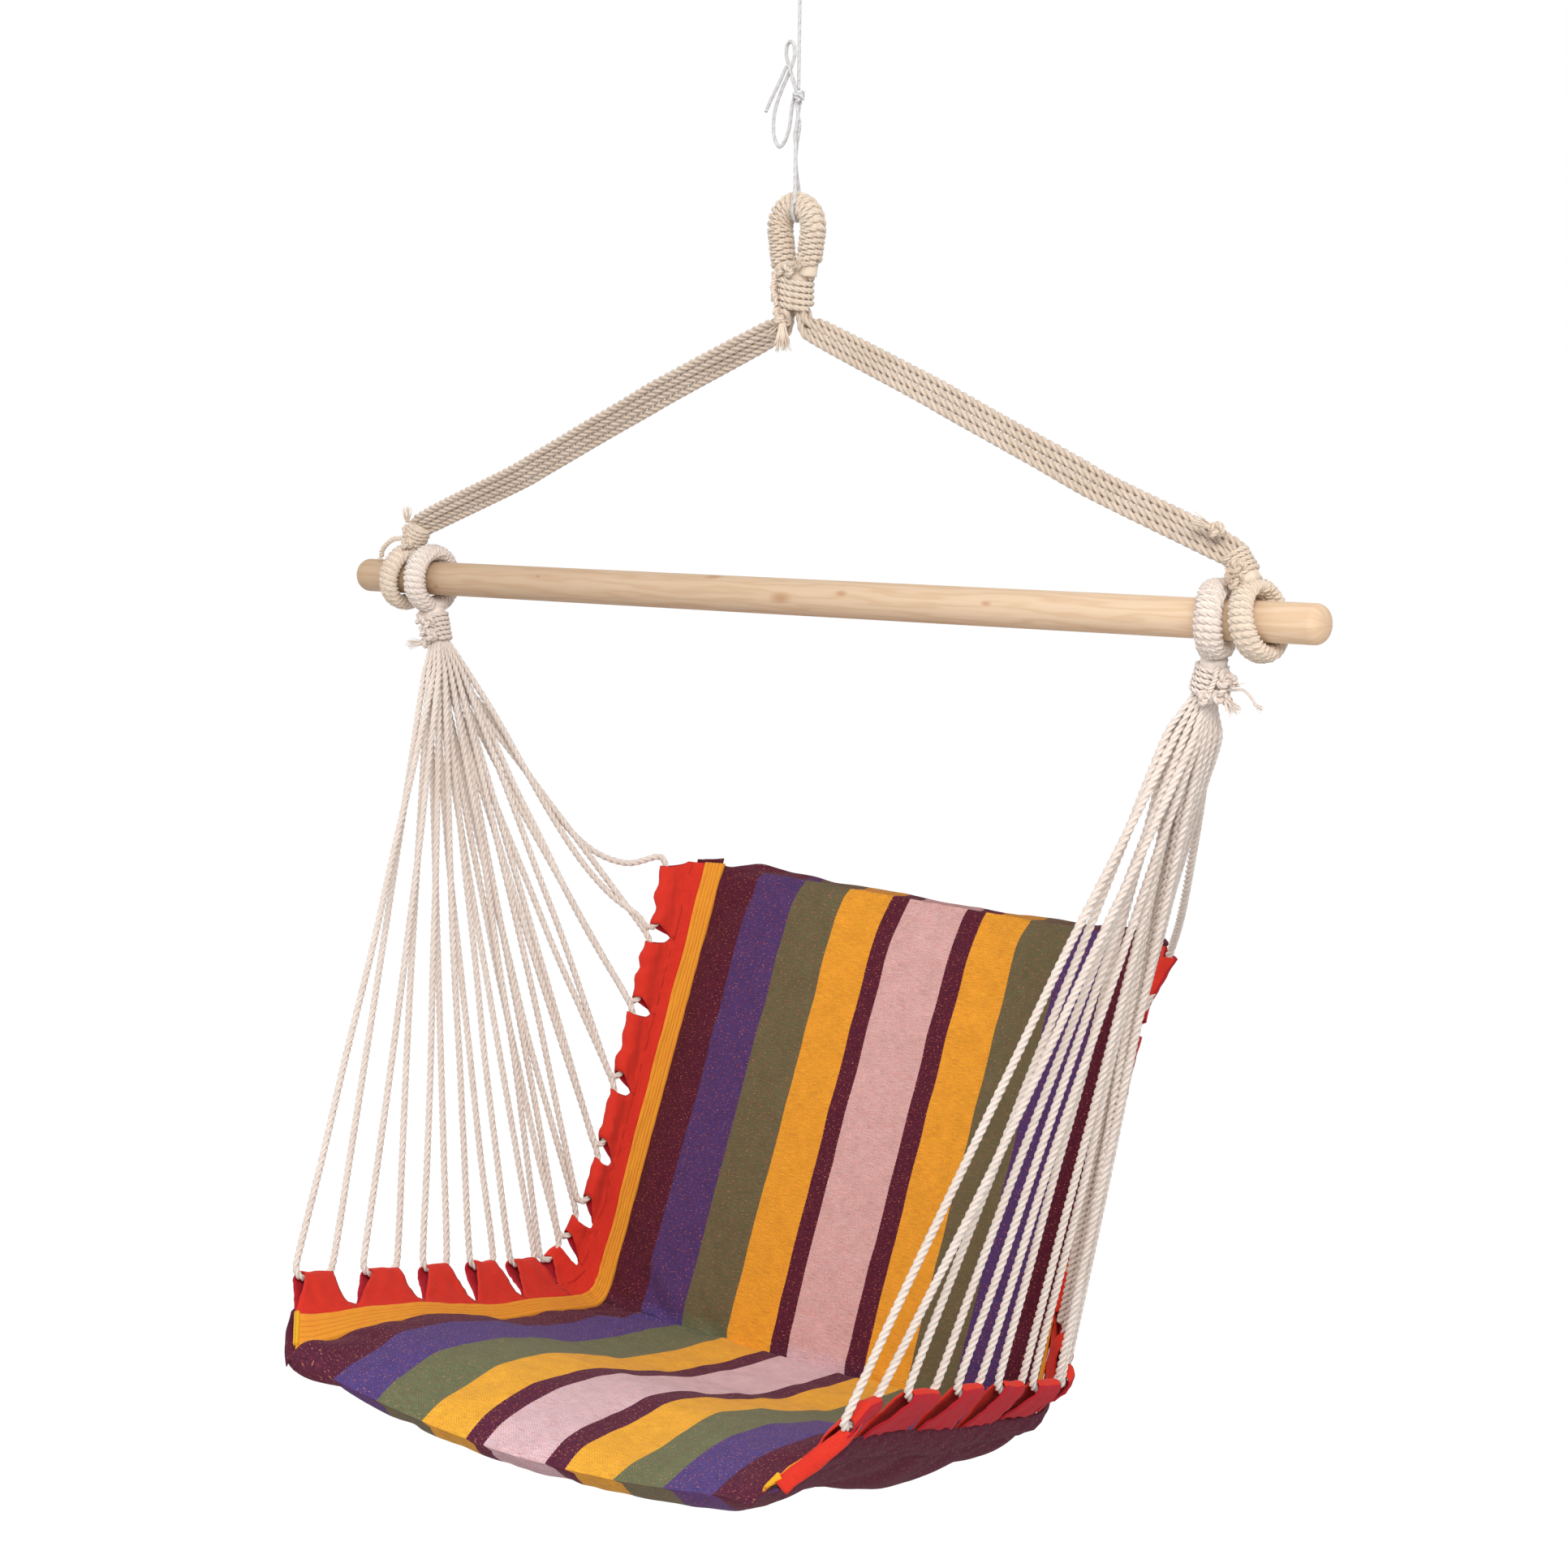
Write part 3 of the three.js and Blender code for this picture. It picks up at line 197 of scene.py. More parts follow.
def mixed(a, b, share):
    return a + (b - a) * share


def eased(share):
    share = np.clip(share, 0, 1)
    return share * share * (3 - 2 * share)


xAxis, yAxis, zAxis = vec(1, 0, 0), vec(0, 1, 0), vec(0, 0, 1)


def alongOf(line):  # how far along the line each of its points is
    return np.concatenate([[0], np.cumsum(np.linalg.norm(np.diff(line, axis=0), axis=1))])


def evenly(line, step):  # the same line with points an even step apart
    along = alongOf(line)
    places = np.linspace(0, along[-1], max(3, round(along[-1] / step) + 1))
    return np.stack([np.interp(places, along, line[:, k]) for k in range(3)], axis=1)


def curveThrough(points, step, parts=16):  # a smooth line through the points
    points = np.array(points, float)
    p = np.concatenate([[2 * points[0] - points[1]], points, [2 * points[-1] - points[-2]]])
    t = np.concatenate([[0], np.cumsum(np.sqrt(np.linalg.norm(np.diff(p, axis=0), axis=1)))])
    slope = (p[2:] - p[:-2]) / (t[2:] - t[:-2])[:, None]
    u = np.linspace(0, 1, parts, endpoint=False)[:, None]
    runs = []
    for i in range(len(points) - 1):
        span = t[i + 2] - t[i + 1]
        runs.append((2 * u**3 - 3 * u**2 + 1) * points[i] + (u**3 - 2 * u**2 + u) * span * slope[i]
                    + (3 * u**2 - 2 * u**3) * points[i + 1] + (u**3 - u**2) * span * slope[i + 1])
    return evenly(np.concatenate(runs + [points[-1:]]), step)


def framesAlong(line):  # directions ahead, aside and across, carried without twist
    ahead = np.gradient(line, axis=0)
    ahead /= np.linalg.norm(ahead, axis=1)[:, None]
    carried = xAxis if abs(ahead[0] @ zAxis) > 0.9 else zAxis
    aside = np.zeros_like(line)
    for i, direction in enumerate(ahead):
        carried = unit(carried - direction * (carried @ direction))
        aside[i] = carried
    return ahead, aside, np.cross(ahead, aside)


# Bodies: points in millimetres, faces, and a spot on the surface for the finish

def stitched(rings, spots, closed=False, wrapped=True):
    count, sides = rings.shape[:2]
    rows, columns = (count if closed else count - 1), (sides if wrapped else sides - 1)
    i, j = np.meshgrid(np.arange(rows), np.arange(columns), indexing="ij")

    def corner(a, b):
        return (a % count) * sides + b % sides

    faces = np.stack([corner(i, j), corner(i, j + 1), corner(i + 1, j + 1), corner(i + 1, j)], axis=-1)
    faces = [tuple(face) for face in faces.reshape(-1, 4).tolist()]
    if wrapped and not closed:
        faces.append(tuple(range(sides - 1, -1, -1)))
        faces.append(tuple(range((count - 1) * sides, count * sides)))
    return {"points": rings.reshape(-1, 3), "faces": faces, "spots": spots.reshape(-1, 3)}


strandSink = 0.055  # how far a rope's strands press into each other, by the rope's radius


def ropeBody(line, radius, lay, strands=3, sides=12, swell=None, spin=0.0):
    _, aside, across = framesAlong(line)
    along = alongOf(line)
    turns = np.linspace(0, fullTurn, sides, endpoint=False)
    half = math.pi / strands
    local = (turns + half) % (2 * half) - half
    offset = 1 / (1 + math.sin(half)) - strandSink
    reach = offset * np.cos(local) + np.sqrt((1 - offset) ** 2 - (offset * np.sin(local)) ** 2)
    reach /= reach.max()
    size = radius * (np.ones(len(line)) if swell is None else swell)
    angle = turns[None] + fullTurn * along[:, None] / lay + spin
    rings = line[:, None] + (size[:, None] * reach[None])[..., None] * (
        np.cos(angle)[..., None] * aside[:, None] + np.sin(angle)[..., None] * across[:, None])
    depth = (reach - reach.min()) / (reach.max() - reach.min())
    spots = np.stack(np.broadcast_arrays(along[:, None], turns[None] * radius, depth[None]), axis=-1)
    return stitched(rings, spots)


def tubeBody(line, radii, sides=8, ovalness=1.0):
    _, aside, across = framesAlong(line)
    along = alongOf(line)
    turns = np.linspace(0, fullTurn, sides, endpoint=False)
    radii = np.broadcast_to(radii, len(line))
    aside, across = aside[:, None], ovalness * across[:, None]
    ring = np.cos(turns)[None, :, None] * aside + np.sin(turns)[None, :, None] * across
    rings = line[:, None] + radii[:, None, None] * ring
    spots = np.stack(np.broadcast_arrays(along[:, None], turns[None] * np.mean(radii), 1.0), axis=-1)
    return stitched(rings, spots)


def sheetBody(points, spots):  # a grid of points, rows by columns
    return stitched(points, spots, wrapped=False)


def pieceFrom(name, bodies, finishes, faceFinish=None):
    points = np.concatenate([b["points"] for b in bodies]) * mm
    spots = np.concatenate([b["spots"] for b in bodies])
    faces, start = [], 0
    for b in bodies:
        faces += [tuple(corner + start for corner in face) for face in b["faces"]]
        start += len(b["points"])
    mesh = bpy.data.meshes.new(name)
    mesh.from_pydata(points.tolist(), [], faces)
    mesh.shade_smooth()
    spot = mesh.attributes.new("spot", "FLOAT_VECTOR", "POINT")
    spot.data.foreach_set("vector", spots.astype(np.float32).ravel())
    for finish in finishes:
        mesh.materials.append(finish)
    if faceFinish is not None:
        mesh.polygons.foreach_set("material_index", faceFinish)
    piece = bpy.data.objects.new(name, mesh)
    bpy.context.scene.collection.objects.link(piece)
    return piece


def settle(piece, carrier, slot, *nodes):  # its body, its finish's slot and the nodes that it stands for
    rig.ride(piece, carrier)
    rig.slot(piece, slot)
    if nodes:
        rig.replaces(piece, *nodes)


# Finishes

class Socket:  # one output of a node; sums on it add Math nodes
    def __init__(self, finish, link):
        self.finish, self.link = finish, link

    def maths(self, operation, *values):
        return self.finish.node("ShaderNodeMath", {"operation": operation}, dict(enumerate(values)))["Value"]

    def __add__(self, other): return self.maths("ADD", self, other)
    def __radd__(self, other): return self.maths("ADD", other, self)
    def __sub__(self, other): return self.maths("SUBTRACT", self, other)
    def __rsub__(self, other): return self.maths("SUBTRACT", other, self)
    def __mul__(self, other): return self.maths("MULTIPLY", self, other)
    def __truediv__(self, other): return self.maths("DIVIDE", self, other)
    def __pow__(self, other): return self.maths("POWER", self, other)
    def __gt__(self, other): return self.maths("GREATER_THAN", self, other)
    def __abs__(self): return self.maths("ABSOLUTE", self)
    def wave(self): return self.maths("SINE", self)

    def within(self, low, high):  # 0 at low to 1 at high, held beyond
        return self.finish.node("ShaderNodeMapRange", {"clamp": True},
                                {"Value": self, "From Min": low, "From Max": high})["Result"]


class Outputs:
    def __init__(self, finish, node):
        self.finish, self.node = finish, node

    def __getitem__(self, name):
        return Socket(self.finish, self.node.outputs[name])


def tone(red, green, blue):  # a colour as a picture shows it, 0 to 255, made linear for a shader
    shares = [c / 255 for c in (red, green, blue)]
    return tuple(c / 12.92 if c <= 0.04045 else ((c + 0.055) / 1.055) ** 2.4 for c in shares) + (1.0,)


class Finish:
    def __init__(self, name, world=None):
        self.material = world or bpy.data.materials.new(name)
        self.material.use_nodes = True
        self.tree = self.material.node_tree
        self.tree.nodes.clear()

    def node(self, kind, settings=None, values=None):
        made = self.tree.nodes.new(kind)
        for key, value in (settings or {}).items():
            if key == "stops":
                ramp = made.color_ramp.elements
                while len(ramp) < len(value):
                    ramp.new(0.5)
                for element, (place, colour) in zip(ramp, value):
                    element.position, element.color = place, colour
            elif key == "steps":
                made.color_ramp.interpolation = value
            else:
                setattr(made, key, value)
        for key, value in (values or {}).items():
            if isinstance(value, Socket):
                self.tree.links.new(value.link, made.inputs[key])
            else:
                made.inputs[key].default_value = value
        return Outputs(self, made)

    def spot(self):  # the surface's own place: see each body's spots
        found = self.node("ShaderNodeAttribute", {"attribute_name": "spot"})["Vector"]
        parts = self.node("ShaderNodeSeparateXYZ", {}, {"Vector": found})
        return parts["X"], parts["Y"], parts["Z"]

    def at(self, x, y, z=0.0):
        return self.node("ShaderNodeCombineXYZ", {}, {"X": x, "Y": y, "Z": z})["Vector"]

    def place(self):  # metres in the object
        return self.node("ShaderNodeTexCoord")["Object"]

    def noise(self, vector, detail, rough=0.5, scale=1.0):
        return self.node("ShaderNodeTexNoise", {},
                         {"Vector": vector, "Scale": scale, "Detail": detail, "Roughness": rough})["Fac"]

    def blend(self, share, first, second, kind="MIX"):
        return self.node("ShaderNodeMix", {"data_type": "RGBA", "blend_type": kind},
                         {0: share, 6: first, 7: second})[2]

    def ramp(self, share, stops, steps="LINEAR"):
        return self.node("ShaderNodeValToRGB", {"stops": stops, "steps": steps}, {"Fac": share})["Color"]

    def bump(self, height, distance, strength):
        return self.node("ShaderNodeBump", {},
                         {"Height": height, "Distance": distance * mm, "Strength": strength})["Normal"]

    def surface(self, **values):
        names = {"colour": "Base Color", "rough": "Roughness", "normal": "Normal", "sheen": "Sheen Weight",
                 "sheenRough": "Sheen Roughness", "coat": "Coat Weight", "coatRough": "Coat Roughness",
                 "specular": "Specular IOR Level"}
        inputs = {names[key]: value for key, value in values.items()}
        shader = self.node("ShaderNodeBsdfPrincipled", {}, inputs)
        self.node("ShaderNodeOutputMaterial", {}, {"Surface": shader["BSDF"]})
        return self.material


cottonLook = {"fibre": 0.55, "fibreRun": 7.0, "fuzz": 2.2, "patch": 0.02, "grooveShade": 0.62, "bump": 0.5}


def twistedCotton(name, light, dark, shade):
    f = Finish(name)
    along, around, depth = f.spot()
    fibres = f.noise(f.at(along / cottonLook["fibreRun"], around / cottonLook["fibre"], depth), 3.0)
    fuzz = f.noise(f.place(), 4.0, scale=cottonLook["fuzz"] / mm)
    patch = f.noise(f.place(), 2.0, scale=cottonLook["patch"] / mm)
    body = f.blend(patch.within(0.35, 0.65), light, dark)
    body = f.blend(fibres.within(0.3, 0.7) * 0.35, body, shade)
    groove = (1 - depth).within(0.35, 1.0) * cottonLook["grooveShade"]
    body = f.blend(groove, body, shade)
    height = fibres * 0.6 + fuzz * 0.4
    return f.surface(colour=body, rough=0.95, sheen=0.25, sheenRough=0.6, specular=0.2,
                     normal=f.bump(height, cottonLook["bump"], 0.9))


whiteCotton = twistedCotton("white_cotton", tone(250, 238, 228), tone(243, 229, 218), tone(198, 175, 160))
beigeCotton = twistedCotton("beige_cotton", tone(230, 213, 196), tone(222, 203, 184), tone(170, 146, 124))
# the same beige cotton painted lighter for the windings, knots and tails: painted light that makes up for the shade in
# their dense grooves
litBeigeTurns = twistedCotton("beige_turns_lit", tone(244, 228, 210), tone(236, 217, 196), tone(192, 168, 146))

braidLook = {"pitch": 3.2, "around": 4.5, "bump": 0.25}


def braidedLine():
    f = Finish("braided_line")
    along, around, _ = f.spot()
    ahead, aside = along * (fullTurn / braidLook["pitch"]), around * braidLook["around"]
    plait = (ahead + aside).wave() * (ahead - aside).wave()
    # painted shade: the line is darker where the plait dips between its strands
    colour = f.blend(plait.within(-1.0, 0.2), tone(222, 219, 219), tone(250, 248, 247))
    return f.surface(colour=colour, rough=0.6, sheen=0.15, specular=0.35,
                     normal=f.bump(plait, braidLook["bump"], 0.9))


whiteLine = braidedLine()

# Each knot: its place along the bar, its side of the bar and its size
barLook = {"grainPitch": 1.1, "grainRun": 60.0, "ringPitch": 9.0, "crackPitch": 0.35, "crackRun": 26.0,
           "bump": 0.2,
           "wood": [(0.0, tone(222, 195, 166)), (0.55, tone(219, 191, 161)), (1.0, tone(213, 182, 150))],
           "grain": tone(201, 163, 124), "knot": tone(176, 120, 76), "end": tone(207, 168, 130),
           "crack": tone(170, 128, 94), "dimEnd": (0.70, 0.66, 0.615, 1.0), "litEnd": (1.02, 1.01, 1.0, 1.0),
           "knots": [(-390, 16.0, 1.2), (-266, 29.5, 0.9), (-76, 39.0, 3.0), (1, 22.0, 3.4), (61, 28.0, 1.9),
                     (198, 26.0, 1.6)]}


def barWood():
    f = Finish("pale_wood")
    along, around, height = f.spot()
    drift = f.noise(f.at(along / 90, around / 9), 2.0)
    grainPlace = f.at(along / barLook["grainRun"], around / barLook["grainPitch"] + drift * 6, height / 6)
    grain = f.noise(grainPlace, 4.0, 0.6)
    rings = ((around / barLook["ringPitch"] + drift * 3 + along / 700) * fullTurn).wave()
    body = f.ramp(rings.within(-1, 1), barLook["wood"])
    body = f.blend(grain.within(0.42, 0.68) * 0.11, body, barLook["grain"])
    knotShare = 0.0
    for place, side, size in barLook["knots"]:
        away = ((along - place) ** 2 / 6 + (around - side) ** 2) ** 0.5
        knotShare = (1 - away.within(size * 0.4, size * 1.6)) + knotShare
    body = f.blend(knotShare.within(0.0, 1.0) * 0.55, body, barLook["knot"])
    body = f.blend(abs(along + 12.5).within(462, 486) * 0.25, body, barLook["end"])
    lit = f.blend(along.within(-440, 380), barLook["dimEnd"], barLook["litEnd"])
    body = f.blend(1.0, body, lit, "MULTIPLY")
    cracks = f.noise(f.at(along / barLook["crackRun"], around / barLook["crackPitch"], 3.0), 3.0, 0.7)
    body = f.blend((1 - cracks.within(0.2, 0.28)) * 0.3, body, barLook["crack"])
    return f.surface(colour=body, rough=0.5 + grain * 0.15, specular=0.35,
                     normal=f.bump(grain * 0.7 + cracks * 0.5, barLook["bump"], 0.6))


paleWood = barWood()

clothLook = {"thread": 0.62, "twillPitch": 1.5, "bump": 0.35}


def woven(f, across, along, row, warpRun, weftRun):  # threads along and across the cloth, and its twill
    warp = f.noise(f.at(across / clothLook["thread"], along / warpRun, row), 2.0)
    weft = f.noise(f.at(across / weftRun, along / clothLook["thread"], row), 2.0)
    return warp, weft, ((across + along) * (fullTurn / clothLook["twillPitch"])).wave()


def clothSurface(f, body, height, sheen):
    return f.surface(colour=body, rough=0.92, sheen=sheen, sheenRough=0.5, specular=0.1,
                     normal=f.bump(height, clothLook["bump"], 0.8))


# Stripes of the cloth from its left edge to its right one, by their share of the width
stripes = {
    "plum": tone(76, 27, 45), "violet": tone(70, 54, 104), "olive": tone(98, 96, 67),
    "yellow": tone(228, 156, 44), "pink": tone(209, 168, 165),
    "order": [("plum", 0.0), ("violet", 0.094), ("olive", 0.198), ("yellow", 0.307), ("plum", 0.410),
              ("pink", 0.448), ("plum", 0.585), ("yellow", 0.627), ("olive", 0.729), ("violet", 0.830),
              ("plum", 0.929)],
    "dark": ("plum", "violet", "olive"), "width": 424.0, "uneven": 1.6, "seatEnd": (366, 376),
    "warpTints": (tone(222, 96, 60), tone(146, 52, 58)), "fleck": tone(204, 118, 84),
    # the dark plum that the under cloth is blended towards, as painted shade
    "dull": tone(90, 24, 42),
    # painted sheen: factors that lighten the seat's light and dark stripes
    "grazed": ((1.06, 1.25, 1.4, 1.0), (1.1, 1.45, 1.5, 1.0)),
}


def stripedCotton(name, dull):
    f = Finish(name)
    across, along, _ = f.spot()
    jitter = f.noise(f.at(0.0, along / 1.1), 1.0) - 0.5
    share = (across + jitter * stripes["uneven"]) / stripes["width"] + 0.5
    body = f.ramp(share, [(place, stripes[colour]) for colour, place in stripes["order"]], "CONSTANT")
    if dull:
        body = f.blend((abs(share - 0.5) > 0.33) * (along > 26), body, stripes["plum"])
    darkStops = [(place, (float(colour in stripes["dark"]),) * 3 + (1.0,))
                 for colour, place in stripes["order"]]
    darkCloth = f.ramp(share, darkStops, "CONSTANT")
    darkShare = f.node("ShaderNodeSeparateColor", {}, {"Color": darkCloth})["Red"]
    warp, weft, twill = woven(f, across, along, 0.0, 7, 9)
    speck = f.noise(f.at(across / 1.3, along / 1.0, 5.0), 1.0)
    fleck = f.noise(f.at(across / 2.4, along / 0.9, 9.0), 0.0)
    cloud = f.noise(f.at(across / 16, along / 16), 3.0)
    red = f.blend(darkShare, *stripes["warpTints"])
    body = f.blend((warp - 0.5) * 1.1 + 0.06, body, red)
    body = f.blend(speck.within(0.61, 0.71) * 0.55, body, red)
    body = f.blend(fleck.within(0.70, 0.77) * 0.65, body, stripes["fleck"])
    shade = 0.66 + weft.within(0.2, 0.8) * 0.52 + twill * 0.19 + cloud.within(0.3, 0.7) * 0.12
    body = f.blend(1.0, body, shade, "MULTIPLY")
    # painted sheen: on the seat, not the back, the stripes are lightened where light grazes the weave, the dark ones
    # most
    onSeat = 1 - along.within(*stripes["seatEnd"])
    grazed = f.blend(darkShare, *stripes["grazed"])
    body = f.blend(onSeat, body, f.blend(1.0, body, grazed, "MULTIPLY"))
    # painted shade: the under cloth and the borders' rear strips are blended towards a dark plum
    if dull:
        body = f.blend(0.35, body, stripes["dull"])
    return clothSurface(f, body, twill * 0.25 + warp * 0.5 + weft * 0.5, 0.04)


stripedCloth = stripedCotton("striped_cloth", False)
# the under cloth is a copy of the striped cloth with painted shade, for the cases' undersides and the borders' rear
# strips
shadedUnderCloth = stripedCotton("striped_cloth_under_shaded", True)

stitching = {"places": (0.30, 0.46, 0.62, 0.78), "halfWidth": 0.012, "pitch": 2.6,
             "tones": (tone(168, 92, 34), tone(232, 140, 46))}


def plainCotton(name, colour, thread, stitchedRows=False):
    f = Finish(name)
    across, along, row = f.spot()
    warp, weft, twill = woven(f, across, along, row, 8, 7)
    speck = f.noise(f.at(across / 1.6, along / 1.6, 5.0), 1.0)
    cloud = f.noise(f.at(across / 18, along / 18, row), 3.0)
    body = f.blend((warp - 0.5) * 0.8 + 0.15, colour, thread)
    body = f.blend(speck.within(0.6, 0.75) * 0.5, body, thread)
    body = f.blend(cloud.within(0.35, 0.75) * 0.22, body, thread)
    body = f.blend(twill.within(-1, 1) * 0.08, body, tone(60, 20, 20))
    height = twill * 0.2 + warp * 0.5 + weft * 0.5
    for place in stitching["places"] if stitchedRows else ():
        stitch = 1 - abs(row - place).within(0.0, stitching["halfWidth"])
        dash = (along * (fullTurn / stitching["pitch"])).wave().within(-0.4, 0.1)
        body = f.blend(stitch * 0.75, body, f.blend(dash, *stitching["tones"]))
        height = height + stitch * dash * 1.2
    return clothSurface(f, body, height, 0.06)


redCloth = plainCotton("red_cloth", tone(226, 60, 42), tone(200, 36, 36))
yellowBorder = plainCotton("yellow_border", tone(246, 168, 52), tone(236, 120, 52), True)
# a darker copy of the red cloth for the tabs' far layer: painted shade
redShade = plainCotton("red_cloth_shaded", tone(190, 34, 46), tone(160, 26, 42))
satinStitch = plainCotton("satin_stitch", tone(246, 186, 44), tone(226, 148, 30))
print("finishes made")


# Camera, room and light

cameraLook = {
    "place": vec(1510.55, -1711.78, -252.19), "right": vec(0.74717, 0.66448, 0.01414),
    "up": vec(-0.11885, 0.11265, 0.98650), "lens": 68.96, "sensor": 36.0,
}
room = {"floorDrop": 1480, "floorSize": 60000, "whiteShare": 0.85, "glow": 1.1, "skyLevel": 0.62,
        "key": {"place": vec(1900, -1900, 1100), "aim": vec(0, 0, -650), "size": 1500, "power": 68},
        "fill": {"place": vec(-2200, -1500, 500), "aim": vec(0, 0, -650), "size": 1800, "power": 18}}


def lookingMatrix(place, right, up):
    columns = np.column_stack([right, up, np.cross(right, up)])
    return Matrix([[*columns[row], place[row] * mm] for row in range(3)] + [[0, 0, 0, 1]])


def addCamera():
    data = bpy.data.cameras.new("camera")
    data.lens, data.sensor_width = cameraLook["lens"], cameraLook["sensor"]
    camera = bpy.data.objects.new("camera", data)
    right, up = unit(cameraLook["right"]), unit(cameraLook["up"])
    camera.matrix_world = lookingMatrix(cameraLook["place"], right, up)
    bpy.context.scene.collection.objects.link(camera)
    bpy.context.scene.camera = camera


def addLamp(name, lamp):
    data = bpy.data.lights.new(name, "AREA")
    data.size, data.energy = lamp["size"] * mm, lamp["power"]
    away = unit(lamp["place"] - lamp["aim"])
    right = unit(np.cross(zAxis, away))
    light = bpy.data.objects.new(name, data)
    light.matrix_world = lookingMatrix(lamp["place"], right, np.cross(away, right))
    bpy.context.scene.collection.objects.link(light)


def seenDirectly(f):  # 1 for what the camera, a mirror or glass sees
    path = f.node("ShaderNodeLightPath")
    seen = path["Is Camera Ray"].maths("MAXIMUM", path["Is Camera Ray"], path["Is Glossy Ray"])
    return seen.maths("MAXIMUM", seen, path["Is Transmission Ray"])


def addRoom():
    bpy.context.scene.world = bpy.data.worlds.new("room")
    sky = Finish("room", bpy.context.scene.world)
    light = sky.node("ShaderNodeBackground", {}, {"Color": (1, 1, 1, 1), "Strength": room["skyLevel"]})
    white = sky.node("ShaderNodeBackground", {}, {"Color": (1, 1, 1, 1), "Strength": 1.0})
    both = sky.node("ShaderNodeMixShader", {},
                    {0: seenDirectly(sky), 1: light["Background"], 2: white["Background"]})
    sky.node("ShaderNodeOutputWorld", {}, {"Surface": both["Shader"]})

    f = Finish("pale_floor")
    plain = f.node("ShaderNodeBsdfDiffuse", {}, {"Color": (0.8, 0.8, 0.8, 1)})
    glow = f.node("ShaderNodeEmission", {}, {"Color": (1, 1, 1, 1), "Strength": room["glow"]})
    floorMix = f.node("ShaderNodeMixShader", {},
                      {0: seenDirectly(f) * room["whiteShare"], 1: plain["BSDF"], 2: glow["Emission"]})
    f.node("ShaderNodeOutputMaterial", {}, {"Surface": floorMix["Shader"]})
    half, drop = room["floorSize"] / 2, room["floorDrop"]
    corners = np.array([[vec(x, y, -drop) for x in (-half, half)] for y in (-half, half)])
    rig.stage(pieceFrom("floor", [sheetBody(corners, corners)], [f.material]))


addCamera()
addRoom()
addLamp("key_lamp", room["key"])
addLamp("fill_lamp", room["fill"])
bpy.context.scene.view_settings.view_transform = "Standard"
print("camera, room and light made")


# Places on the bar, the eye and the seat, as the frame has them

bar = {"radius": 14.0, "leftEnd": 497.0, "rightEnd": 472.0, "domeRise": 9.0, "domeSteps": 10, "drop": 485.0,
       "tilt": math.radians(2.24), "sides": 64}
barMiddle = vec(0, 0, -bar["drop"])
barAxis = vec(math.cos(bar["tilt"]), 0, math.sin(bar["tilt"]))
barUp = vec(-math.sin(bar["tilt"]), 0, math.cos(bar["tilt"]))


def addBar():
    low, high = -bar["leftEnd"], bar["rightEnd"]
    quarter = np.linspace(0, math.pi / 2, bar["domeSteps"] + 1)
    dome = [(bar["domeRise"] * (1 - math.cos(angle)), math.sin(angle) ** 0.8) for angle in quarter]
    inside = bar["domeRise"] + 4
    rows = [(low + rise, share) for rise, share in dome]
    rows += [(along, 1.0) for along in np.linspace(low + inside, high - inside, 90)]
    rows += [(high - rise, share) for rise, share in dome[::-1]]
    turns = np.linspace(0, fullTurn, bar["sides"], endpoint=False)
    ring = np.array([math.cos(t) * barUp + math.sin(t) * yAxis for t in turns])
    rings, spots = [], []
    for along, share in rows:
        radius = bar["radius"] * max(share, 0.02)
        rings.append(barMiddle + barAxis * along + radius * ring)
        spots.append([(along, bar["radius"] * abs(t - math.pi), radius) for t in turns])
    piece = pieceFrom("bar_wood", [stitched(np.array(rings), np.array(spots))], [paleWood])
    settle(piece, "bar", "pale_wood", "bar")


addBar()
print("bar made")


# Cords: their pieces, windings, knots and frayed ends

cordKinds = {"line": (whiteLine, "line_white"), "knot": (whiteLine, "line_white"),
             "bight": (whiteLine, "line_white"), "suspension": (litBeigeTurns, "cotton_rope"),
             "seat": (whiteCotton, "white_cord")}


def cordPiece(name, carrier, bodies, *nodes, finish=None):
    usual, slot = cordKinds[carrier]
    piece = pieceFrom(name, bodies, [finish or usual])
    settle(piece, carrier, slot, *nodes)
    return piece


def declareCord(piece, path, diameter, **more):
    facts = {"exit": tuple(path[0] * mm), "length": round(alongOf(path)[-1] * mm, 3), "far_end": "object",
             "diameter": diameter * mm, "stiffness": "limp", "lay": "taut", "path": (path * mm).tolist()}
    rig.cord(piece, **(facts | more))


winding = {"lay": 15.0, "waves": 37.0, "waveStart": 1.3}


def windingBody(frameAt, halfThick, halfBand, radius, turns, steps, lift, slant=0.0):
    path = []
    for k in range(round(turns * steps) + 1):
        share = k / (turns * steps)
        angle = fullTurn * k / steps
        point, out, side = frameAt(share + slant * math.cos(angle))
        bulge = 1 + lift * math.sin(share * winding["waves"] + winding["waveStart"])
        path.append(point + out * halfThick * bulge * math.cos(angle) + side * halfBand * math.sin(angle))
    return ropeBody(np.array(path), radius, winding["lay"])


def squareTo(axis):  # two directions square to the axis and to each other
    first = unit(np.cross(axis, xAxis if abs(axis @ xAxis) < 0.8 else yAxis))
    return first, np.cross(axis, first)


def knotBody(centre, axis, size, radius, lay=9.0, spin=0.0):  # one overhand knot drawn tight
    axis = unit(axis)
    first, second = squareTo(axis)
    t = np.linspace(0, fullTurn, 90)
    x, y, z = np.sin(t) + 2 * np.sin(2 * t), np.cos(t) - 2 * np.cos(2 * t), -np.sin(3 * t)
    c, s = math.cos(spin), math.sin(spin)
    x, y = c * x - s * y, s * x + c * y
    path = centre + size / 3 * (x[:, None] * first + y[:, None] * second + 1.1 * z[:, None] * axis)
    return ropeBody(path, radius, lay, 3, 9)


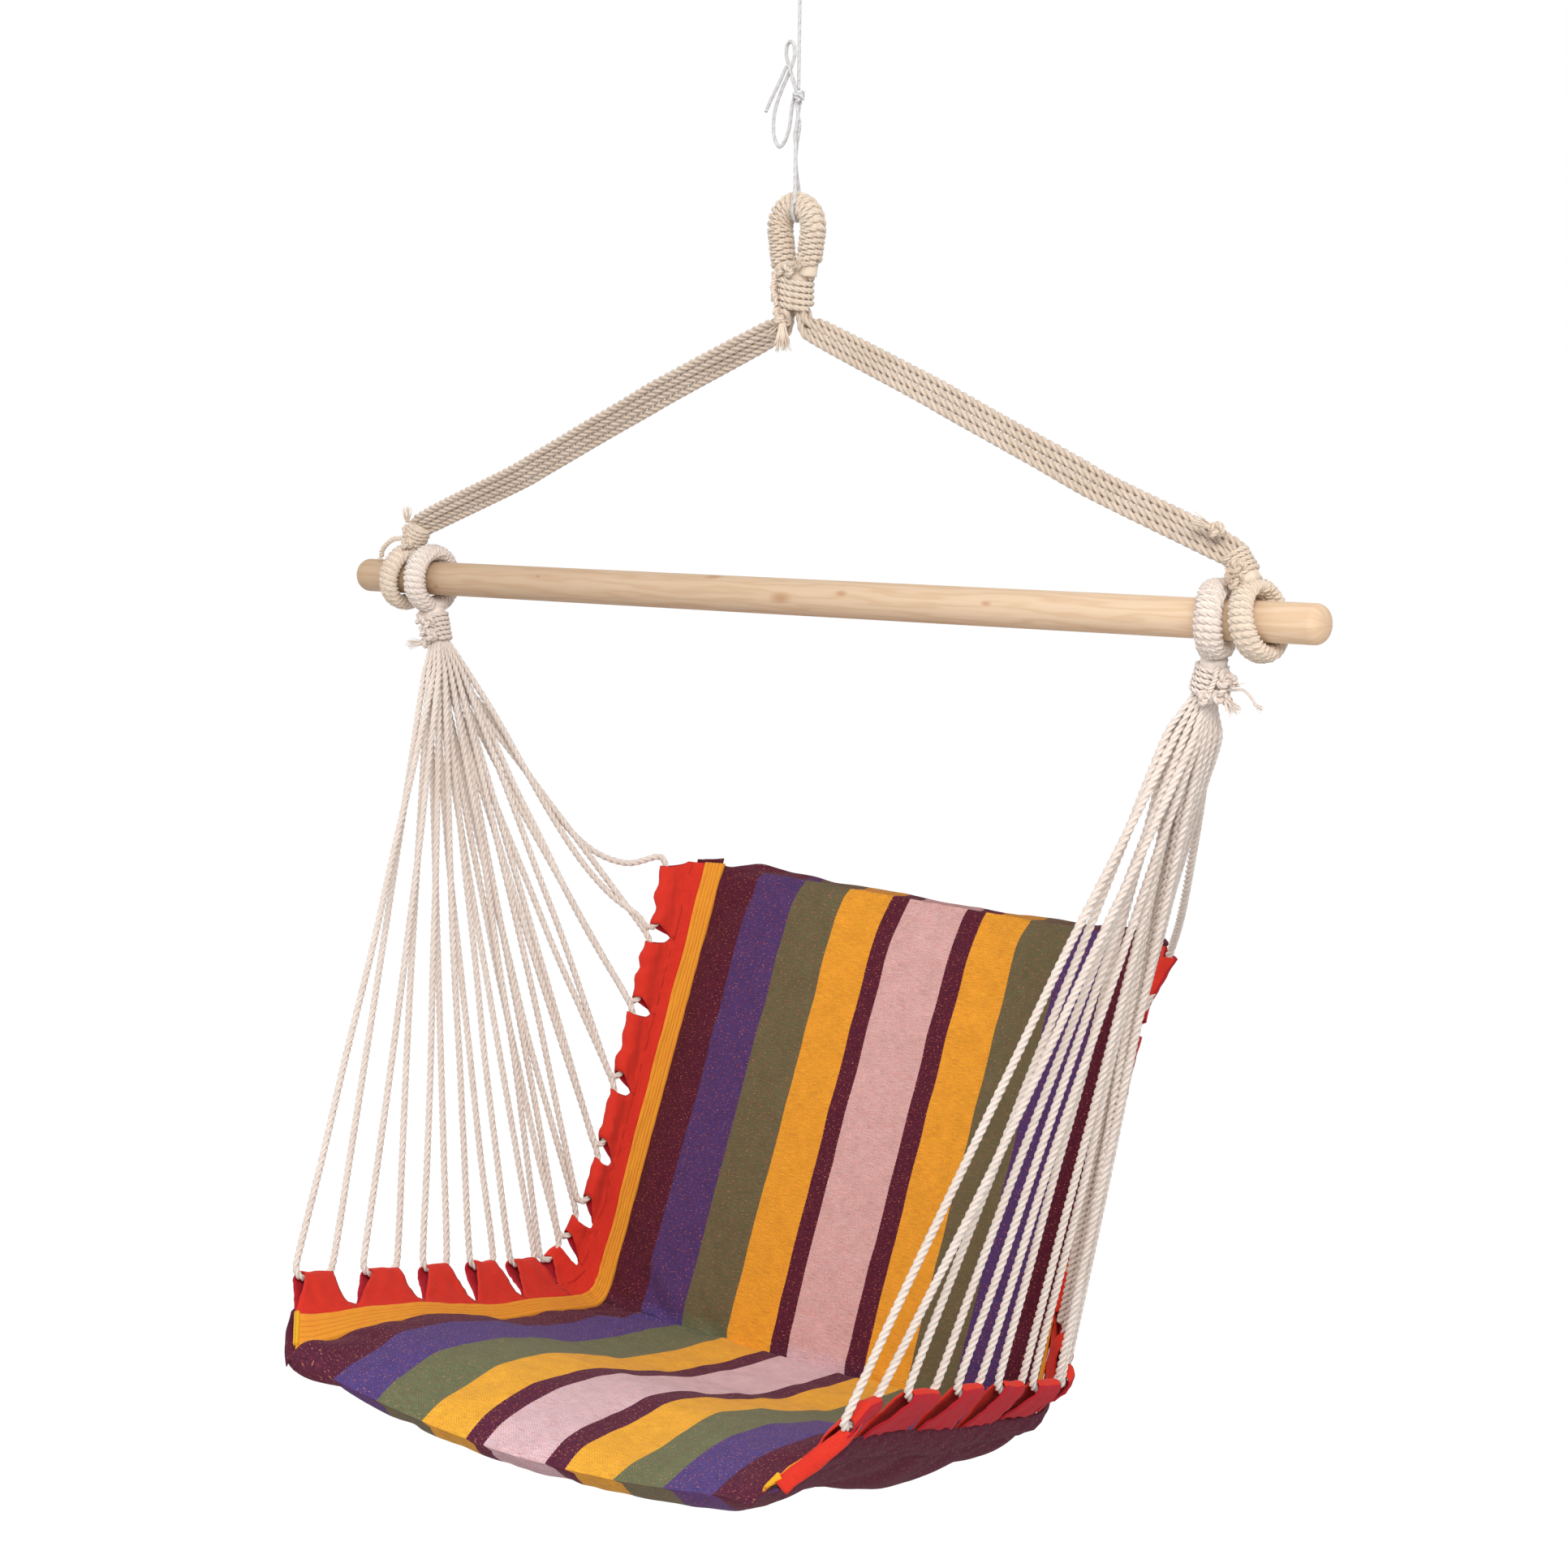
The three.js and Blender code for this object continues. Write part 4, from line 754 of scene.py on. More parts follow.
def tuftBody(start, direction, length, spread, count, thick, curl):  # a cut end's loose yarns
    direction = unit(direction)
    first, second = squareTo(direction)
    yarns = []
    for _ in range(count):
        angle, share = draws.uniform(0, fullTurn), math.sqrt(draws.uniform(0, 1))
        lean = first * math.cos(angle) + second * math.sin(angle)
        reach = length * draws.uniform(0.7, 1.05)
        bent = first * draws.uniform(-1, 1) + second * draws.uniform(-1, 1)
        points = []
        for u in np.linspace(0, 1, 7):
            sideways = lean * spread * share * (0.35 + 0.65 * u**1.6)
            points.append(start + direction * reach * u + sideways + bent * curl * math.sin(u * 3.0) * u)
        yarns.append(tubeBody(np.array(points), thick * np.linspace(1.0, 0.55, 7), 5))
    return yarns


def placesFrom(start, ahead, aside, out):  # a place along, beside and out of a neck, and a shift from there
    def placeAt(along, x, y, shift=(0, 0, 0)):
        return start + ahead * along + aside * x + out * y + vec(*shift)
    return placeAt


# A neck's table lists knots by place, axis, size, cord's radius and spin; loose ropes by places, radius,
# lay, step and sides; and tufts by place, direction, length, spread, count, thickness and curl

def dressing(details, placeAt):
    bodies = [knotBody(placeAt(*place), vec(*axis), size, radius, spin=spin)
              for place, axis, size, radius, spin in details["knots"]]
    for places, radius, lay, step, sides in details.get("ropes", []):
        path = curveThrough([placeAt(*place) for place in places], step)
        bodies.append(ropeBody(path, radius, lay, 3, sides))
    for place, heading, *shape in details["tufts"]:
        bodies += tuftBody(placeAt(*place), vec(*heading), *shape)
    return bodies


# The line: upper loop, taut run, slipped bow, tail and the doubled end in the eye

hangLine = {
    "diameter": 2.8, "lay": 7.0, "step": 0.7, "topKnotDrop": 36.0, "loopWidth": 13.0, "knotDrop": 111.5,
    "runLength": 69.0, "wrapTurns": 2, "wrapReach": (3.6, 3.3), "wrapRise": 2.4, "coreRadius": 2.6,
    "bow": [(0, 0, 2), (-1.5, 0.8, 1), (-5.5, 1.6, 8), (-10.5, 1.6, 20), (-14, 1.6, 30), (-12.6, 1, 37),
            (-8.6, 0, 39.4), (-4.2, -1, 36.4), (-3.0, -1.6, 29), (-7.5, -1.6, 18), (-15.5, -1.6, 4),
            (-22, -1.2, -10), (-24.5, 0, -23), (-23, 0.5, -32), (-19, 0.6, -37), (-13.5, 0.6, -33),
            (-9, 0.4, -23), (-6.8, 0, -12), (-4, -0.8, -3), (0, 0, -1)],
    "tail": [(0, -1.5, 2), (-2.2, -3.2, 9), (-4.2, -4.6, 17), (-6.0, -5.0, 21.5), (-9.0, -5.0, 19),
             (-14, -4.8, 11), (-21, -4.4, 1), (-27, -4.0, -8), (-29, -4.0, -11.5)],
    "front": [(-0.8, -1.4, -4), (1.3, -1.6, -14), (0.3, -1.8, -21), (-1.6, -1.8, -29), (0.3, -2.8, -36),
              (2.4, -5.0, -50)],
    "rear": [(-6.2, 5.0, -50), (-3.8, 3.0, -36), (-1.2, 1.6, -29), (0.3, 1.4, -21), (-1.3, 1.2, -14),
             (0.8, 1.4, -4)],
    "turnGap": 0.1, "turnLeave": 0.35, "turnSides": (7.5, -6.5),
}
eye = {"width": 33.0, "archRise": 277.0, "armLength": 27.0, "armLean": math.radians(9.2), "ropeRadius": 10.35,
       "cord": 5.0, "turns": 26, "neckTopRise": 243.0, "neckLength": 26.0, "tailRise": 212.0}
archMiddle = barMiddle + zAxis * eye["archRise"]
archSweep = math.pi + 2 * eye["armLean"]
archLength = archSweep * eye["width"] / 2
eyeLength = archLength + 2 * eye["armLength"]


def lineBody(path, radius=hangLine["diameter"] / 2, lay=hangLine["lay"], sides=12):
    return ropeBody(path, radius, lay, 4, sides)


def addLine():
    radius, half = hangLine["diameter"] / 2, hangLine["loopWidth"] / 2
    topKnot = vec(0, 0, -hangLine["topKnotDrop"])
    knot = vec(0, 0, -hangLine["knotDrop"])
    runPath = np.linspace(knot + zAxis * 4, topKnot - zAxis * 3, 50)
    run = cordPiece("line_taut_run", "line", [lineBody(runPath)], "line_run")

    loop = [topKnot + vec(-radius, 0, -2), topKnot + vec(-radius * 1.2, 0, 5)]
    for angle in np.linspace(math.pi, 0, 9):
        loop.append(vec(half * math.cos(angle), 0, radius - half + half * math.sin(angle)))
    loop += [topKnot + vec(radius * 1.2, 0, 5), topKnot + vec(radius, 0, -2)]
    bodies = [lineBody(curveThrough(loop, hangLine["step"])),
              knotBody(topKnot, vec(0, 1, 0.2), 3.0, 1.3, 6.0)]
    upper = cordPiece("line_upper_loop", "line", bodies, "line_top_loop")

    def fromKnot(name):
        return [knot + vec(*point) for point in hangLine[name]]

    steps = hangLine["wrapTurns"] * 20
    (across, deep), rise = hangLine["wrapReach"], hangLine["wrapRise"]
    wrapPath = []
    for k in range(steps + 1):
        angle = fullTurn * k / 20
        height = rise - 2 * rise * k / steps
        wrapPath.append(knot + vec(across * math.cos(angle), deep * math.sin(angle), height))
    bodies = [lineBody(curveThrough(fromKnot(name), hangLine["step"])) for name in ("bow", "tail")]
    bodies += [lineBody(np.array(wrapPath), 1.35, 6.0, 10),
               knotBody(knot + vec(2.6, -1.5, -1.5), vec(0.3, 1, 0), 3.2, 1.4, 6.0),
               tubeBody(np.linspace(knot + zAxis * 3, knot - zAxis * 3, 5), hangLine["coreRadius"], 10)]
    knotPiece = cordPiece("line_slipped_knot", "knot", bodies, "line_knot")
    declareCord(run, runPath, hangLine["diameter"], exit=tuple((knot + zAxis * 5) * mm),
                length=hangLine["runLength"] * mm, far_end="knot", with_pieces=[upper, knotPiece])

    # The doubled end's two strands cross and part loosely, and go round the eye's rope
    archTop = archMiddle + zAxis * eye["width"] / 2
    reach, leave = eye["ropeRadius"] + radius + hangLine["turnGap"], hangLine["turnLeave"]
    turn = []
    for share in np.linspace(0, 1, 13):
        angle = mixed(math.pi - leave, fullTurn + leave, share)
        turn.append(archTop + vec(mixed(*hangLine["turnSides"], share), reach * math.cos(angle),
                                  reach * math.sin(angle)))
    path = curveThrough(fromKnot("front") + turn + fromKnot("rear"), hangLine["step"])
    bight = cordPiece("line_doubled_end", "bight", [lineBody(path)], "line_bight")
    declareCord(bight, path, hangLine["diameter"])


addLine()
print("line made")


# The eye: a rope arch under close turns, the wrap round its neck, knots and a frayed tail

eyeNeck = {"wrapped": (1.5, 24.5), "reach": (12.4, 11.2), "cord": 2.5, "turns": 5, "coreRadii": (11.4, 10.6),
           "knots": [((6, -13, 4), (0.4, -1, 0.2), 5.2, 2.2, 0.4),
                     ((-3, -11.5, 3), (0.1, -1, 0.5), 4.4, 2.0, 0),
                     ((-11.5, -10, -1), (-0.5, -1, 0.3), 3.2, 1.7, 0),
                     ((-13, -9, -9), (-0.5, -1, 0.3), 3.2, 1.7, 1),
                     ((-11.5, -10.5, -17), (-0.5, -1, 0.3), 3.2, 1.7, 2)],
           "ropes": [([(-9, -9, 3), (-10.5, -11.5, -3), (-12, -12.5, -10), (-9, -14, -17), (-8, -12.5, -24)],
                      2.0, 8.0, 1.2, 12)],
           "tufts": [((10, -14, 5), (1, -0.3, 0.5), 11, 5.5, 26, 0.5, 1.5)]}
eyeTail = {"knots": [((0, 0, 0), (0.2, -1, 0.3), 6.0, 2.6, 0), ((1, 2, -2), (1, -0.5, 0.2), 5.0, 2.4, 1.0)],
           "tufts": [((1, 0, -5), (0.12, -0.1, -1), 21, 7.0, 60, 0.55, 1.2),
                     ((1, 0, -5), (-0.9, -0.2, -0.75), 22, 1.5, 3, 0.35, 3.0)]}
neckTop = barMiddle + zAxis * eye["neckTopRise"]
neckBottom = neckTop[2] - eye["neckLength"]
crotch = vec(0, 0, neckBottom - 7.5)


def eyeFrame(length):
    onArch = min(max((length - eye["armLength"]) / archLength, 0), 1)
    angle = mixed(math.pi + eye["armLean"], -eye["armLean"], onArch)
    out, run = vec(math.cos(angle), 0, math.sin(angle)), vec(math.sin(angle), 0, -math.cos(angle))
    past = length - eye["armLength"] - onArch * archLength
    return archMiddle + out * eye["width"] / 2 + run * past, out, yAxis


def addEye():
    def ropeFrame(share):
        return eyeFrame(1.0 + (eyeLength - 2.0) * share)

    def neckFrame(share):
        return neckTop - zAxis * mixed(*eyeNeck["wrapped"], share), xAxis, yAxis

    half = eye["ropeRadius"] - eye["cord"] / 2
    core = np.array([eyeFrame(length)[0] for length in np.linspace(-6, eyeLength + 6, 60)])
    whipping = windingBody(ropeFrame, half, half, eye["cord"] / 2, eye["turns"], 20, 0.012, -0.03)
    cordPiece("eye_whipped_rope", "suspension", [whipping, tubeBody(core, half - 0.4, 14)],
              "eye_core", "eye_whipping")

    stuffing = np.linspace(neckTop + zAxis * 3, neckTop - zAxis * 27, 12)
    bodies = [windingBody(neckFrame, *eyeNeck["reach"], eyeNeck["cord"], eyeNeck["turns"], 40, 0.02, 0.08),
              tubeBody(stuffing, np.linspace(*eyeNeck["coreRadii"], 12), 16)]
    bodies += dressing(eyeNeck, placesFrom(neckTop, xAxis, yAxis, zAxis))
    cordPiece("eye_neck_turns", "suspension", bodies, "eye_neck_wrap")

    knot = barMiddle + vec(-4.5, -11, eye["tailRise"])
    bodies = dressing(eyeTail, placesFrom(knot, xAxis, yAxis, zAxis))
    cordPiece("eye_frayed_tail", "suspension", bodies, "eye_tail")


addEye()
print("eye made")


# Rings on the bar and their necks

hangerRing = {"band": 20.5, "thick": 13.2, "slack": 0.6, "neckLength": 27.0, "cord": 4.4, "turns": 31,
              "lean": math.radians(12), "neckLean": math.radians(35), "shown": 21.0, "uncovered": 0.06,
              "left": -440.0, "right": 419.0}
seatRing = {"band": 21.0, "thick": 14.2, "slack": 0.6, "neckLength": 32.0, "cord": 5.0, "turns": 30,
            "uncovered": 0.09, "left": -409.0, "right": 385.0, "leftTurn": math.radians(10),
            "rightTurn": math.radians(20), "leftShape": {"band": 22.0, "thick": 15.2}, "rightShape": {}}
hangerNeck = {"radius": 8.6, "cord": 2.2, "turns": 5, "wrapped": (8.0, 26.0), "core": (2, 26),
              "coreRadii": (8.4, 7.4), "sides": 14}
seatNeck = {"radius": 9.9, "cord": 2.3, "turns": 5.4, "wrapped": (9.0, 31.0), "core": (3, 31),
            "coreRadii": (9.4, 8.6), "sides": 16}
runGap, coreSwell = 0.4, 0.6
hangerDress = {
    "left": {
        "knots": [((9, 2, -10), (0.2, -1, 0.4), 4.6, 2.2, 0), ((18, -4, -9), (0.6, -1, 0), 4.0, 2.0, 0)],
        "ropes": [([(0, 0, 0, point) for point in
                    ((1, -9, 11), (-9, -11, 9.5), (-19, -10.5, 4.5), (-26, -9.5, -1.5), (-27.5, -9, -6.5))],
                   2.4, 9.0, 1.2, 12)],
        "tufts": [((24, -9, -8), (0.35, -0.4, 1), 14, 5, 26, 0.5, 2.0),
                  ((0, 0, 0, (-27.5, -9, -6.5)), (-0.3, -0.2, -1), 3.5, 2.4, 26, 0.5, 0.5)]},
    "right": {
        "knots": [((9, 4, -10), (0.2, -1, 0.3), 5.4, 2.4, 0.5), ((15, -3, -10), (0.7, -1, 0.3), 4.6, 2.2, 0),
                  ((44, -3, -9), (-0.3, -1, 0.5), 5.0, 2.3, 0)],
        "tufts": [((10, 11, -10), (0.7, -0.5, 0.9), 13, 6, 34, 0.5, 2.0),
                  ((44, -3, -9, (-4, -2, 2)), (-1, -0.3, 0.35), 14, 5, 30, 0.5, 1.5)]}}
seatDress = {
    "left": {
        "knots": [((along, x, y), (0.05 * x, -1, 0.3), size, 2.2, along) for along, x, y, size in
                  ((10, -6, -11, 4.8), (15, 3, -12, 5.2), (21, -3, -12, 4.6), (27, 4, -11, 4.4),
                   (30, -7, -9, 4.2))],
        "tufts": [((30, -11, -8), (-1, -0.5, -0.15), 15, 5, 34, 0.5, 1.5)]},
    "right": {
        "knots": [((29, 8, -12), (0.3, -1, 0.1), 4.2, 2.2, 0), ((12, 17, -7), (0.8, -1, 0.3), 5.4, 2.5, 0),
                  ((24, 18, -7), (0.9, -1, -0.3), 5.6, 2.5, 1.0)],
        "ropes": [([(6, 9, -9), (14, 10.5, -10), (24, 9.5, -11), (32, 8, -9.5)], 2.1, 8.0, 1.2, 12),
                  ([(18, 20, -7), (16, 26, -9), (13, 33, -9), (16, 40, -8), (19, 44, -8)], 1.1, 5.0, 1.0, 9)],
        "tufts": [((14, 21, -7), (1, -0.5, 0.3), 11, 5, 30, 0.5, 1.5),
                  ((26, 22, -7), (1, -0.5, -0.6), 12, 6, 36, 0.5, 1.5),
                  ((19, 44, -8), (0.9, -0.2, -0.5), 8, 3, 16, 0.35, 1.0)]}}


def ringShape(ring, place, turn, lean, slackSign):
    across = yAxis * math.cos(turn) - barAxis * math.sin(turn)
    rise = barUp * math.cos(lean) + barAxis * math.sin(lean)
    side = np.cross(across, rise)
    hole = bar["radius"] + runGap + ring["slack"]
    quarter = ring["band"] / 4
    halfAcross = hole / math.cos(turn) + quarter * math.tan(abs(turn)) + ring["thick"] / 2
    halfRise = hole / math.cos(lean) + quarter * math.tan(abs(lean)) + ring["thick"] / 2
    middle = barMiddle + barAxis * place + barUp * slackSign * ring["slack"]

    def frameAt(angle):
        c, s = math.cos(angle), math.sin(angle)
        point = middle + across * halfAcross * c + rise * halfRise * s
        return point, unit(across * halfRise * c + rise * halfAcross * s), side
    return frameAt


def ringBodies(ring, frameAt, neckAngle):
    halfThick, halfBand = (ring["thick"] - ring["cord"]) / 2, (ring["band"] - ring["cord"]) / 2
    gap = math.pi * ring["uncovered"]

    def turning(share):
        return frameAt(neckAngle + mixed(gap, fullTurn - gap, share))

    whipping = windingBody(turning, halfThick, halfBand, ring["cord"] / 2, ring["turns"], 18, 0.02)
    thick, band = halfThick + coreSwell, halfBand + coreSwell
    turns = np.linspace(0, fullTurn, 12, endpoint=False)
    rings = []
    for angle in np.linspace(0, fullTurn, 48, endpoint=False):
        point, out, side = frameAt(angle)
        rings.append([point + out * thick * math.cos(t) + side * band * math.sin(t) for t in turns])
    rings = np.array(rings)
    return [whipping, stitched(rings, np.ones_like(rings), closed=True)]


def neckFrame(direction):
    out = unit(yAxis - direction * direction[1])
    return out, np.cross(direction, out)


def neckBodies(start, direction, neck):
    out, side = neckFrame(direction)

    def wrapFrame(share):
        return start + direction * mixed(*neck["wrapped"], share), out, side

    core = np.linspace(*(start + direction * place for place in neck["core"]), 8)
    return [windingBody(wrapFrame, neck["radius"], neck["radius"], neck["cord"], neck["turns"], 26, 0.03),
            tubeBody(core, np.linspace(*neck["coreRadii"], 8), neck["sides"])]


# Rope legs from the eye's neck down to the hanger rings

leg = {"diameter": 6.7, "pitch": 5.8, "endPitch": 7.0, "twist": math.radians(53), "lay": 21.0,
       "crotchReach": 15.0, "gap": 0.3, "wave": 0.35, "thinEnd": 0.68, "thinRun": 40.0, "order": [3, 0, 2, 1]}


def legPaths(place, lowEnd, neckDirection):
    towards = barMiddle + barAxis * place - crotch
    direction = unit(vec(towards[0], 0, towards[2] + hangerRing["neckLength"]))
    highEnd = crotch + direction * (leg["crotchReach"] + leg["gap"])
    middle = (lowEnd + highEnd) / 2
    half = np.linalg.norm(middle - highEnd) / 2

    def fanOf(heading):
        normal = unit(np.cross(yAxis, heading))
        spread = yAxis * math.cos(leg["twist"]) + normal * math.sin(leg["twist"])
        return spread, unit(np.cross(spread, heading))

    lowSpread, lowSide = fanOf(neckDirection)
    highSpread, highSide = fanOf(-direction)
    paths = []
    for k, order in enumerate(leg["order"]):
        corner = math.pi / 4 + math.pi / 2 * order + math.atan(0.5)
        x, y = (leg["endPitch"] / math.sqrt(2) * part for part in (math.cos(corner), math.sin(corner)))
        lowOffset, highOffset = lowSpread * x + lowSide * y, highSpread * x + highSide * y
        flat = highSpread * (1.5 - k) * leg["pitch"]
        low, high = lowEnd + lowOffset, highEnd + highOffset
        insideNeck = vec(0, 0, neckBottom + 12) + highOffset * 0.75
        insideRing = lowEnd - neckDirection * 20 + lowOffset * 0.55
        points = [insideNeck, mixed(insideNeck, high, 0.55) - zAxis * 1.0, high - direction * 3]
        points += [highEnd + direction * 9 + flat * 0.85]
        for away in (0.84, 0.56, 0.28, 0, -0.28, -0.56, -0.84):
            wave = vec(*draws.uniform(-1, 1, 3)) * leg["wave"] * 0.6
            points.append(middle + flat - direction * half * away + wave)
        points += [lowEnd + (neckDirection - direction) * 5 + flat * 0.9]
        points += [low - neckDirection * 3, mixed(low, insideRing, 0.6), insideRing]
        paths.append(curveThrough(points, 1.7))
    return paths


def thinned(path, thinnest, inside, run):  # a cord's swell along its path, thinner at both ends
    along = alongOf(path)
    return thinnest + (1 - thinnest) * eased((np.minimum(along, along[-1] - along) - inside) / run)


def addHanger(side, sign):
    place, bow = hangerRing[side], hangerRing["neckLean"]
    frameAt = ringShape(hangerRing, place, 0.0, -sign * hangerRing["lean"], 1)
    direction = barUp * math.cos(bow) - barAxis * sign * math.sin(bow)
    start = frameAt(math.pi / 2)[0]
    cordPiece(f"{side}_hanger_turns", "suspension", ringBodies(hangerRing, frameAt, math.pi / 2),
              f"{side}_hanger_ring", f"{side}_hanger_whipping")

    out, aside = neckFrame(direction)
    bodies = neckBodies(start, direction, hangerNeck)
    bodies += dressing(hangerDress[side], placesFrom(start, direction, aside * sign, out))
    cordPiece(f"{side}_hanger_neck_turns", "suspension", bodies, f"{side}_hanger_neck_wrap")

    lowEnd = start + direction * (hangerRing["shown"] + leg["gap"])
    for k, path in enumerate(legPaths(place, lowEnd, direction)):
        swell = thinned(path, leg["thinEnd"], 0, leg["thinRun"])
        body = ropeBody(path, leg["diameter"] / 2, leg["lay"], swell=swell, spin=k)
        rope = cordPiece(f"{side}_leg_rope_{k + 1}", "suspension", [body], f"{side}_leg_strand_{k + 1}",
                         finish=beigeCotton)
        declareCord(rope, path, leg["diameter"])


addHanger("left", -1)
addHanger("right", 1)
print("legs and hanger rings made")


# Places on the seat, in its own frame: x across, y back, z up from the bar's middle

seat = {"turn": 0.0963, "roll": 0.0152, "halfWidth": 212.0, "front": (-313.0, -579.0),
        "crease": (50.0, -629.0), "top": (203.0, -268.0), "creaseRadius": 22.0}
lacing = {"front": (-270.0, -520.0), "crease": (27.0, -590.0), "top": (158.0, -262.0), "radius": 22.0,
          "places": (0, 0.03, 0.07, 0.3, 0.46, 0.56, 0.93, 1.0),
          "halfWidths": (257, 257, 257, 257, 257, 233, 243, 254),
          "taut": {-1: (0.88, 0.88, 0.88, 0.88, 0.88, 0.9, 0.84, 0.76), 1: (1, 1, 1, 1, 1, 1, 1, 1.2)},
          "rises": {-1: (0, 0, 0, 0, 0, 0, 0, 0), 1: (0, 13, 18, 16, 12, 0, 0, 0)}}
bightShares = [(0.0, 0.057), (0.114, 0.171), (0.216, 0.263), (0.304, 0.352), (0.382, 0.434), (0.452, 0.48),
               (0.496, 0.523), (0.546, 0.602), (0.622, 0.694), (0.712, 0.797), (0.812, 0.893), (0.910, 0.994)]


def turned(points, axis, angle):
    c, s = math.cos(angle), math.sin(angle)
    i, j = {"x": (1, 2), "y": (2, 0), "z": (0, 1)}[axis]
    out = np.array(points, float)
    first, second = points[..., i], points[..., j]
    out[..., i], out[..., j] = c * first - s * second, s * first + c * second
    return out


def fromSeat(points):  # the seat's frame to the part's
    return turned(turned(np.asarray(points, float), "y", seat["roll"]), "z", seat["turn"]) + barMiddle


def bentPath(start, corner, end, radius):
    start, corner, end = (vec(0, *p) for p in (start, corner, end))
    inward, outward = unit(start - corner), unit(end - corner)
    opening = math.acos(inward @ outward)
    cut = radius / math.tan(opening / 2)
    first = np.linalg.norm(start - corner) - cut
    bend = radius * (math.pi - opening)
    length = first + bend + np.linalg.norm(end - corner) - cut
    centre = corner + unit(inward + outward) * radius / math.sin(opening / 2)

    def frameAt(s):
        if s <= first:
            point, ahead = start - inward * s, -inward
        elif s >= first + bend:
            point, ahead = end + outward * (s - length), outward
        else:
            angle = (s - first) / radius
            point = centre + turned(corner + inward * cut - centre, "x", angle)
            ahead = turned(-inward, "x", angle)
        return point, ahead, unit(np.cross(xAxis, ahead))
    return {"at": frameAt, "length": length, "middle": first + bend / 2}


padPath = bentPath(seat["front"], seat["crease"], seat["top"], seat["creaseRadius"])
lacePath = bentPath(lacing["front"], lacing["crease"], lacing["top"], lacing["radius"])


def lacePoint(sign, share):
    halfWidth = np.interp(share, lacing["places"], lacing["halfWidths"])
    rise = np.interp(share, lacing["places"], lacing["rises"][sign])
    far = lacePath["at"](share * lacePath["length"])[0] + xAxis * sign * halfWidth + zAxis * rise
    near = padPath["at"](share * padPath["length"])[0] + xAxis * sign * seat["halfWidth"]
    return mixed(near, far, np.interp(share, lacing["places"], lacing["taut"][sign]))


@cache
def sideFrame(sign, s):  # the pad's edge, the way to the lacing, and the sitter's side of that
    point, ahead, _ = padPath["at"](s)
    share = min(max(s / padPath["length"], 0), 1)
    start = point + xAxis * sign * (seat["halfWidth"] + 2.1)
    reach = lacePoint(sign, share) - start
    return start, reach, unit(np.cross(ahead, reach) * -sign)


# Seat rings and the fans of cords; the slack is by side and lacing place, counted from the front

fan = {"pitch": 6.7, "flare": 30.0, "turnBack": 0.2, "order": [1, 3, 0, 2], "diameter": {-1: 5.8, 1: 6.5},
       "lay": 18.0, "wave": 3.4, "bundle": 4.6, "held": 10.0, "heldShare": 0.42, "kneeRise": 11.0,
       "hookRise": 9.0, "thinEnd": 0.60, "thinInside": 14.0, "thinRun": 55.0,
       "slack": {("left", 11): 8.0, ("left", 20): 7.0, ("left", 22): 24.0, ("left", 23): 46.0,
                 ("right", 23): 14.0}}


def turnedBack(lace, run, rise, held):  # the hook where a cord leaves its tunnel and goes back past the tab
    aside = unit(rise - run * (rise @ run))
    sweep = math.acos(-(rise @ run))
    radius = min(mixed(8.0, 5.2, eased((sweep - 1.88) / 0.9)), held - 1.5)
    begin = lace + run * (radius - 1)
    angles = np.linspace(sweep, 0, 6)
    hook = [begin + aside * radius * (1 - math.cos(t)) - run * radius * math.sin(t) for t in angles]
    return hook + [begin + run * 2]


def cordPath(side, index, laces, neckStart, down, fanAcross, fanAlong):
    mouthEnd = neckStart + down * (seatRing["neckLength"] - 1)
    face = neckStart + down * (seatRing["neckLength"] + fan["flare"])
    ends = []
    for k in (2 * index, 2 * index + 1):
        other = laces[k + 1] if k % 2 == 0 else laces[k - 1]
        gap, run = np.linalg.norm(other - laces[k]), unit(other - laces[k])
        column, row = fan["order"][k % 4] - 1.5, k // 4 - 2.5
        spot = face + fanAcross * column * fan["pitch"] + fanAlong * row * fan["pitch"]
        bundle = (fanAcross * column / 1.5 + fanAlong * row / 2.5) * fan["bundle"]
        inside, mouth = neckStart + down * 10 + bundle * 0.7, mouthEnd + bundle * 1.1
        rise = unit(spot - laces[k])
        held = min(fan["held"], fan["heldShare"] * gap)
        knee = laces[k] + rise * fan["kneeRise"] + run * 0.6
        bend = [laces[k] + run * 4.5 + rise * 2.6, laces[k] + run * held]
        if rise @ run > fan["turnBack"]:
            bend = turnedBack(laces[k], run, rise, held)
            knee = bend[0] + rise * fan["hookRise"]
        wave = fan["wave"] * min(np.linalg.norm(spot - knee) / 400, 1)
        points = [inside, mouth, mixed(mouth, spot, 0.5) + (spot - mouth) * 0.03, spot]
        sway = unit(vec(*draws.uniform(-1, 1, 3)))
        slack = fan["slack"].get((side, k), 0.0)
        for share in (0.16, 0.33, 0.5, 0.67, 0.84):
            bow = math.sin(math.pi * share) * wave * (0.6 + 0.8 * draws.uniform())
            sag = slack * math.sin(math.pi * share ** 1.5)
            points.append(mixed(spot, knee, share) + sway * bow - zAxis * sag)
        ends.append(points + [knee] + bend)
    return curveThrough(ends[0] + ends[1][::-1], 1.7)


